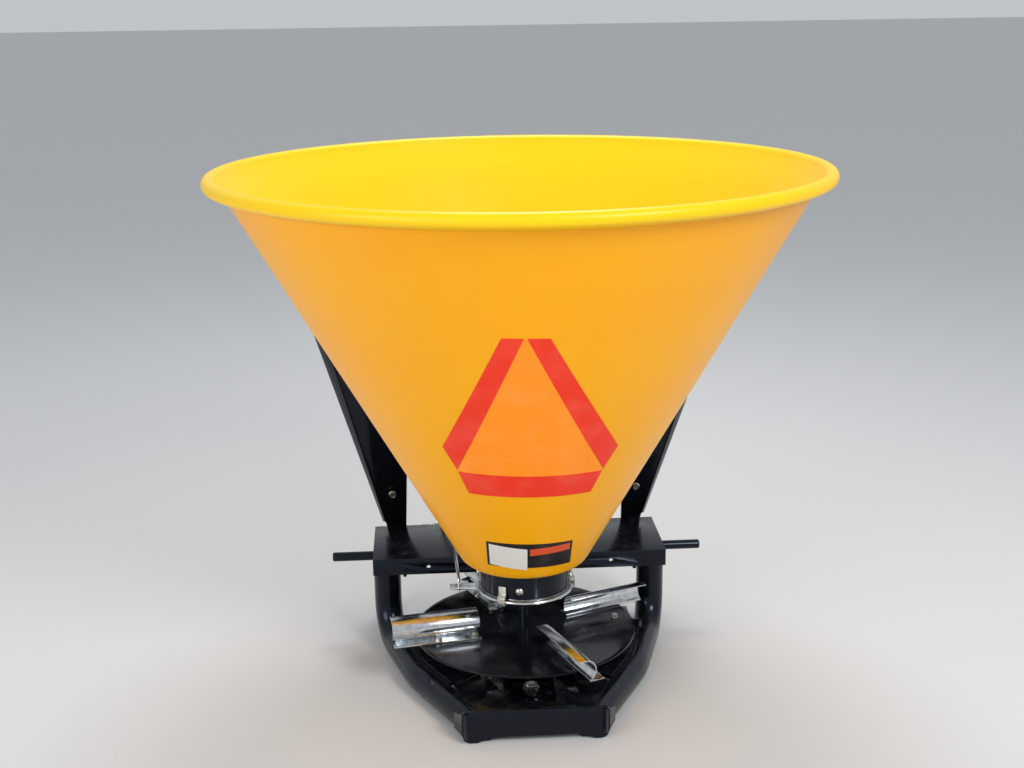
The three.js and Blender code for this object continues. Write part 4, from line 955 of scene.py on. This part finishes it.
outlet = {
    "funnelBottom": 222.6, "funnelRadius": 100.0, "waist": 106.7, "flangeBottom": 291.3,
    "flangeRadius": 115.4, "wall": 3.0,
    "beadRadius": 105.5, "beadHeight": 217.0, "bead": 4.5,
    "boltHeight": 244.6, "boltAngles": (-100, -10, 80, 170),
    "boltSeat": 103.45,  # radius at which a bolt's head bears on the funnel
    "edge": 0.8,
}


def buildOutlet():
    low, flange = outlet["funnelBottom"], outlet["flangeBottom"]
    wall, edge = outlet["wall"], outlet["edge"]
    radius, rim = outlet["funnelRadius"], outlet["flangeRadius"]
    profile = [
        (radius - wall, low), (radius - edge, low), (radius, low + edge), (outlet["waist"], flange),
        (rim - edge, flange), (rim, flange + edge), (rim, flange + wall - edge), (rim - edge, flange + wall),
        (outlet["waist"] - wall, flange + wall),
    ]
    funnel = turnedMesh("funnel_spun", profile, 120, blackCoat)
    addPiece("funnel_spun", funnel, "frame", blackCoat, ["discharge_funnel"])
    brokenEdges("orifice_plate", 0.5 * mm, galvanised)
    brokenEdges("shutter_ring", 0.4 * mm, galvanised, "shutter")
    ring = arcPoints((outlet["beadRadius"], outlet["beadHeight"]), outlet["bead"], 0, 360, 20)[:-1]
    bead = turnedMesh("shutter_bead", ring, 160, galvanised)
    addPiece("shutter_bead", bead, "shutter", galvanised)
    for i in (1, 2, 3):
        brokenEdges(f"shutter_clip_{i}", 0.6 * mm, zinc)


buildOutlet()


# Shapes stand on z = 0, the face they clamp, with their head upwards.
def prismRings(rings):
    vertices, faces = [], []
    count = len(rings[0])
    for ring in rings:
        vertices += ring
    for i in range(len(rings) - 1):
        for k in range(count):
            n = (k + 1) % count
            faces.append((i * count + k, i * count + n, (i + 1) * count + n, (i + 1) * count + k))
    faces.append(tuple(range(count - 1, -1, -1)))
    faces.append(tuple((len(rings) - 1) * count + k for k in range(count)))
    return vertices, faces


def circleRing(radius, z, count=24):
    return [(radius * math.cos(2 * math.pi * k / count) * mm, radius * math.sin(2 * math.pi * k / count) * mm,
             z * mm) for k in range(count)]


# A ring between a circle and a hexagon, so a head can have its turned chamfer.
def hexRing(acrossFlats, z, limit, count=48):
    ring = []
    for k in range(count):
        angle = 2 * math.pi * k / count
        within = (angle + math.pi / 6) % (math.pi / 3) - math.pi / 6
        radius = min(acrossFlats / 2 / math.cos(within), limit)
        ring.append((radius * math.cos(angle) * mm, radius * math.sin(angle) * mm, z * mm))
    return ring


def hexHead(acrossFlats, z, height):
    point = acrossFlats / math.sqrt(3)
    rings = [
        hexRing(acrossFlats, z, point * 0.94), hexRing(acrossFlats, z + height * 0.1, point),
        hexRing(acrossFlats, z + height * 0.8, point), hexRing(acrossFlats, z + height, point * 0.9),
        circleRing(acrossFlats * 0.4, z + height, 48),
        circleRing(acrossFlats * 0.37, z + height * 0.94, 48),
    ]
    return prismRings(rings)


def roundPart(profile, count=32):
    return prismRings([circleRing(r, z, count) for r, z in profile])


def shapeObject(name, parts):
    meshes = [meshFrom(f"{name}_{i}", *part) for i, part in enumerate(parts)]
    return newObject(name, joinMeshes(name, meshes))


bolts = {
    "shank": 4.0,  # radius of an M8 bolt
    "acrossFlats": 13.0,
    "head": 5.3,
    "nut": 6.5,
    "washer": [(8.1, 0), (8.5, 0.3), (8.5, 1.3), (8.1, 1.6)],
    "dome": [(9, 0), (9, 0.5), (8.2, 2.4), (6.4, 4.3), (3.6, 5.3), (0.3, 5.6)],
    "underDisc": 7.1,  # from the fin's flange through the disc
    "throughFunnel": 8.0,
    "funnelNut": 6.0,
}
shank, acrossFlats = bolts["shank"], bolts["acrossFlats"]
washerAndHead = [roundPart(bolts["washer"]), hexHead(acrossFlats, 1.5, bolts["head"])]
finBoltShape = shapeObject("fin_bolt_shape", washerAndHead + [
    roundPart([(shank, -bolts["underDisc"] - bolts["nut"] - 1.5), (shank, 2)], 16),
    hexHead(acrossFlats, -bolts["underDisc"] - bolts["nut"], bolts["nut"]),
])
carriageShape = shapeObject("carriage_bolt_shape", [
    roundPart(bolts["dome"]),
    roundPart([(shank, -bolts["throughFunnel"] - bolts["funnelNut"] - 4), (shank, 1)], 16),
    hexHead(acrossFlats, -bolts["throughFunnel"] - bolts["funnelNut"], bolts["funnelNut"]),
])
discBoltShape = shapeObject("disc_bolt_shape", washerAndHead)

disc = {"top": 114.0, "bottom": 110.0, "radius": 249.0, "bore": 14.3, "edge": 1.0, "looseBolt": (209, 31)}
fins = {
    "angles": (22, 112, 190, 292), "inner": 108.0, "length": 197.0, "height": 50.0, "depth": 36.0,
    "flange": 19.0, "lip": 6.0, "toe": 2.0, "sheet": 2.5, "gap": 0.3, "bolts": (14, 96),
}


def buildFasteners():
    places = []
    seat = disc["top"] + 2 * fins["gap"] + fins["sheet"]
    for angle in fins["angles"]:
        for along in fins["bolts"]:
            turn = Matrix.Rotation(math.radians(angle), 3, "Z")
            place = turn @ Vector((fins["inner"] + along, fins["depth"] / 2 + fins["flange"] / 2, seat))
            places.append((place * mm, (0, 0, 1), 1.0))
    names = []
    for i in range(len(fins["angles"])):
        names += [f"fin_bolt_{i + 1}_{k + 1}" for k in range(len(fins["bolts"]))]
    spare = [(Vector((*disc["looseBolt"], disc["top"] + 0.2)) * mm, (0, 0, 1), 1.0)]
    fastenerSet("disc_fastener", discBoltShape, spare, "spinner", zinc, (), 7)
    fastenerSet("fin_fasteners", finBoltShape, places, "spinner", zinc, names, 5)
    places = []
    for angle in outlet["boltAngles"]:
        out = Vector((math.cos(math.radians(angle)), math.sin(math.radians(angle)), 0))
        point = out * outlet["boltSeat"] + Vector((0, 0, outlet["boltHeight"]))
        places.append((point * mm, out, 1.0))
    names = [f"funnel_bolt_{i + 1}" for i in range(len(outlet["boltAngles"]))]
    fastenerSet("funnel_fasteners", carriageShape, places, "frame", zinc, names, 2)


buildFasteners()
print("stage: outlet and fasteners")


hub = {"low": 99.0, "boss": 26.0, "plateLow": 99.9, "radius": 44.0, "high": 109.7}
shaft = {"radius": 14.0, "low": 11.0, "high": 352.0}


def buildSpinner():
    edge = disc["edge"]
    profile = [
        (disc["bore"], disc["bottom"]), (disc["radius"] - edge, disc["bottom"]),
        (disc["radius"] - 0.3, disc["bottom"] + 0.3), (disc["radius"], disc["bottom"] + edge),
        (disc["radius"], disc["top"] - edge), (disc["radius"] - 0.3, disc["top"] - 0.3),
        (disc["radius"] - edge, disc["top"]), (disc["radius"] - 8, disc["top"]),
        (disc["bore"] + 60, disc["top"]), (disc["bore"], disc["top"]),
    ]
    mesh = turnedMesh("disc_spun", profile, 240, discCoat)
    addPiece("disc_spun", mesh, "spinner", discCoat, ["spinner_disc"])
    profile = [
        (disc["bore"], hub["low"]), (hub["boss"] - 1, hub["low"]), (hub["boss"], hub["low"] + 1),
        (hub["boss"], hub["plateLow"]), (hub["radius"] - 2, hub["plateLow"]),
        (hub["radius"], hub["plateLow"] + 1.6), (hub["radius"], hub["high"]), (disc["bore"], hub["high"]),
    ]
    mesh = turnedMesh("hub_cast", profile, 96, casting)
    addPiece("hub_cast", mesh, "spinner", casting, ["disc_hub"])
    radius, low, high = shaft["radius"], shaft["low"], shaft["high"]
    profile = [
        (onAxis, low), (radius - 2, low), (radius, low + 2), (radius, high - 3), (radius - 0.6, high - 1),
        (radius - 3, high), (onAxis, high),
    ]
    mesh = turnedMesh("shaft_turned", profile, 96, blackCoat)
    addPiece("shaft_turned", mesh, "spinner", blackCoat, ["spinner_shaft"])
    brokenEdges("agitator", 0.6 * mm, steel, "spinner")


# The section of a half-pipe fin with its bolting flange, as (across, up) from the flange's toe round.
def finSection():
    z0 = disc["top"] + fins["gap"]
    outer = fins["height"] / 2
    inner = outer - fins["sheet"]
    back = fins["depth"] / 2 - outer
    openSide = -fins["depth"] / 2 - fins["lip"]
    meet = -math.degrees(math.asin(inner / outer))
    toeMeet = -math.degrees(math.acos((fins["toe"] - back) / inner))
    hem = fins["sheet"] / 2
    flangeEnd = fins["depth"] / 2 + fins["flange"]
    section = [(fins["toe"], z0), (flangeEnd - 0.6, z0), (flangeEnd, z0 + 0.6),
               (flangeEnd, z0 + fins["sheet"] - 0.6), (flangeEnd - 0.6, z0 + fins["sheet"])]
    section += arcPoints((back, z0 + outer), outer, meet, 90, 30)
    top = z0 + fins["height"]
    section += arcPoints((openSide + hem, top - hem), hem, 90, 270, 6)
    section += arcPoints((back, z0 + outer), inner, 90, toeMeet, 30)
    return [(y * mm, z * mm) for y, z in section]


def buildFins():
    for i, angle in enumerate(fins["angles"]):
        start, end = fins["inner"] * mm, (fins["inner"] + fins["length"]) * mm
        mesh = pushedOutline(f"fin_section_{i + 1}", finSection(), start, end)
        mesh = bevelled(f"fin_pressed_{i + 1}", mesh, 0.5 * mm, 2, 60)
        mesh.transform(Matrix.Rotation(math.radians(angle), 4, "Z"))
        softShading(mesh, 40)
        addPiece(f"fin_pressed_{i + 1}", mesh, "spinner", galvanised, [f"fin_{i + 1}"])


buildSpinner()
buildFins()
print("stage: spinner")


def blockMesh(name, low, high, width):
    corners = [(x * mm, y * mm, z * mm) for x in (low[0], high[0]) for y in (low[1], high[1])
               for z in (low[2], high[2])]
    faces = [(0, 1, 3, 2), (4, 6, 7, 5), (0, 4, 5, 1), (2, 3, 7, 6), (0, 2, 6, 4), (1, 5, 7, 3)]
    mesh = meshFrom(name, corners, faces)
    outwardFaces(mesh)
    mesh = bevelled(name, mesh, width * mm)
    softShading(mesh)
    return mesh


saddleTrim = {
    "face": -178.1,
    # left, right, low, high and depth of each bar
    "bars": ((-36, 25, 30.3, 33.6, 5), (-36, 40, 13, 16.5, 4)),
    "pinPlace": (-44, -185.5), "pinRadius": 5.0, "pinHead": 6.5, "pinLow": 14.0, "pinHigh": 63.0,
}


# Two stiffening bars below the saddle's bolt, and the locking pin beside it.
def buildSaddleTrim():
    face = saddleTrim["face"]
    bars = []
    for i, (left, right, low, high, depth) in enumerate(saddleTrim["bars"]):
        bars.append(blockMesh(f"bar_{i}", (left, face - depth, low), (right, face, high), 0.8))
    mesh = joinMeshes("saddle_bars", bars)
    softShading(mesh)
    addPiece("saddle_bars", mesh, "frame", blackCoat)
    radius, head = saddleTrim["pinRadius"], saddleTrim["pinHead"]
    low, high = saddleTrim["pinLow"], saddleTrim["pinHigh"]
    profile = [
        (onAxis, low), (radius - 0.8, low), (radius, low + 1), (radius, high - 4), (head, high - 4),
        (head, high - 1), (head - 0.9, high), (onAxis, high),
    ]
    pin = turnedMesh("saddle_pin", profile, 32, blackCoat)
    pin.transform(Matrix.Translation(Vector((*saddleTrim["pinPlace"], 0)) * mm))
    addPiece("saddle_pin", pin, "frame", blackCoat)


shield = {
    "rear": 90.0, "flare": 265.0, "front": 289.0, "bore": 20.5, "neck": 32.0, "shoulder": 40.0, "mouth": 44.0,
    "wall": 3.0, "axisHeight": 52.0,
}


# The guard round the input shaft: a necked tube that flares towards the drive shaft.
def buildShield():
    rear, front, flare = shield["rear"], shield["front"], shield["flare"]
    shoulder, mouth, wall = shield["shoulder"], shield["mouth"], shield["wall"]
    profile = [
        (shield["bore"], rear), (shield["neck"], rear), (shoulder, rear + 12), (mouth, flare),
        (mouth, front - 1), (mouth - 0.6, front), (mouth - wall + 0.6, front), (mouth - wall, front - 1),
        (mouth - wall, flare), (shoulder - wall, rear + 15), (shield["neck"] - 2, rear + wall),
        (shield["bore"], rear + wall),
    ]
    mesh = turnedMesh("shield_moulded", profile, 96, shieldPlastic)
    turn = Matrix.Rotation(math.radians(-90), 4, "X")
    mesh.transform(Matrix.Translation((0, 0, shield["axisHeight"] * mm)) @ turn)
    addPiece("shield_moulded", mesh, "frame", shieldPlastic, ["pto_shield"])


def buildDrive():
    brokenEdges("gearbox_housing", 2.2 * mm, casting, segments=3)
    brokenEdges("gearbox_cover", 1.2 * mm, casting)
    brokenEdges("bearing_cap", 0.6 * mm, casting)
    brokenEdges("gearbox_saddle", 1.0 * mm, blackCoat)
    brokenEdges("saddle_bolt", 0.9 * mm, zinc)
    brokenEdges("input_shaft", 0.4 * mm, steel, "input")
    for name in ("upper_bearing", "lower_bush", "rear_input_bearing", "front_input_bearing"):
        brokenEdges(name, 0.5 * mm, steel)
    brokenEdges("crown_gear", 0.3 * mm, steel, "spinner")
    brokenEdges("bevel_pinion", 0.3 * mm, steel, "input")
    buildShield()


buildDrive()
buildSaddleTrim()


tube = {
    "radius": 31.75, "front": (313.25, 180.05), "top": 222.7, "bend": 80, "knee": (242, -60), "kneeBend": 320,
    "rear": (114, -304), "cut": -303.7,
}


def mirroredMesh(mesh, name):
    copy = mesh.copy()
    copy.name = name
    copy.transform(Matrix.Scale(-1, 4, (1, 0, 0)))
    copy.flip_normals()
    return copy


def buildTubes():
    radius = tube["radius"]
    knee = Vector((*tube["knee"], radius))
    rear = Vector((*tube["rear"], radius))
    run = (rear - knee).normalized()
    corners = [Vector((*tube["front"], tube["top"])), Vector((*tube["front"], radius)), knee, rear + run * 40]
    route = [p * mm for p in roundedRoute(corners, [tube["bend"], tube["kneeBend"]], 24)]
    right = sweptBar("loop_bent_right", route, radius * mm, 56, tube["cut"] * mm)
    softShading(right)
    left = mirroredMesh(right, "loop_bent_left")
    addPiece("loop_bent_right", right, "frame", blackCoat, ["loop_tube_right"])
    addPiece("loop_bent_left", left, "frame", blackCoat, ["loop_tube_left"])


hitchPin = {"radius": 11.0, "root": 259.0, "end": 445.0, "y": 248.0, "z": 198.0}


def buildPins():
    radius, root, end = hitchPin["radius"], hitchPin["root"], hitchPin["end"]
    profile = [
        (onAxis, root), (radius, root), (radius, end - 4), (radius - 0.4, end - 2), (radius - 1.6, end - 0.6),
        (radius - 3, end), (onAxis, end),
    ]
    pin = turnedMesh("lower_pin_right", profile, 64, blackCoat)
    pin.transform(Matrix.Rotation(math.radians(90), 4, "Y"))
    pin.transform(Matrix.Translation((0, hitchPin["y"] * mm, hitchPin["z"] * mm)))
    left = mirroredMesh(pin, "lower_pin_left")
    addPiece("lower_pin_right", pin, "frame", blackCoat, ["hitch_pin_right"])
    addPiece("lower_pin_left", left, "frame", blackCoat, ["hitch_pin_left"])


def buildFrame():
    buildTubes()
    buildPins()
    plates = {
        "rear_foot": 1.2, "belly_plate": 0.7, "rear_pan": 0.7, "cross_channel": 2.0,
        "post_right": 1.1, "post_left": 1.1, "mast_right": 1.2, "mast_left": 1.2, "funnel_bracket": 0.8,
    }
    for node, width in plates.items():
        brokenEdges(node, width * mm, blackCoat)
    brokenEdges("top_link_pin", 0.8 * mm, zinc)
    brokenEdges("linchpin", 0.3 * mm, zinc)


postBolts = {
    "lean": 20.3,  # degrees that a post's web leans back towards the hopper
    "x": 298.0, "z": 330.0, "footY": 356.3, "footZ": 231.0, "sheet": 5.2, "size": 1.1,
}


# Hexagon bolts through the posts' webs.
def buildPostFasteners():
    lean = math.radians(postBolts["lean"])
    face = Vector((0, -math.cos(lean), -math.sin(lean)))
    z = postBolts["z"]
    y = postBolts["footY"] - math.tan(lean) * (z - postBolts["footZ"]) - postBolts["sheet"] / math.cos(lean)
    places = [(Vector((side * postBolts["x"], y, z)) * mm, face, postBolts["size"]) for side in (-1, 1)]
    fastenerSet("post_fasteners", discBoltShape, places, "frame", zinc, (), 4)


def buildControls():
    brokenEdges("control_lever", 0.8 * mm, blackCoat, "lever")
    brokenEdges("lever_grip", 1.4 * mm, shieldPlastic, "lever", 3)
    brokenEdges("lever_quadrant", 0.6 * mm, galvanised)
    brokenEdges("lever_pivot_bolt", 0.7 * mm, zinc)
    brokenEdges("link_rod", 0.2 * mm, galvanised, "link")


welds = {
    "bead": 2.6,
    "aheadOfCut": 1.2,
    "lowest": 3.0,
    # from x, to x, y and z of the straight runs on one side: post foot, mast foot, parking leg's foot
    "straight": ((268, 312, 361.8, 231.4), (104, 148.8, 364.4, 231.2), (310, 332.4, 347.6, 6.4)),
}


# Weld beads where the black frame is joined: a loop round each tube's cut end and three straight runs.
def buildWelds():
    radius = tube["radius"]
    knee, rear = Vector(tube["knee"]), Vector(tube["rear"])
    run = (rear - knee).normalized()
    runs = []
    for side in (1, -1):
        loop = []
        for k in range(41):
            angle = math.radians(8 + 344 * k / 40 - 90)
            across = math.cos(angle) * radius / abs(run.y)
            height = max(radius + math.sin(angle) * radius, welds["lowest"])
            loop.append(Vector((side * (rear.x + across), tube["cut"] + welds["aheadOfCut"], height)) * mm)
        runs.append(loop)
        for start, end, y, z in welds["straight"]:
            runs.append([Vector((side * (start + (end - start) * i / 8), y, z)) * mm for i in range(9)])
    weldSet("frame_welds", runs, welds["bead"] * mm, "frame", blackCoat)


buildFrame()
buildControls()
buildPostFasteners()
buildWelds()
for shape in (finBoltShape, carriageShape, discBoltShape):
    data = shape.data
    bpy.data.objects.remove(shape)
    bpy.data.meshes.remove(data)
print("stage: frame and controls")
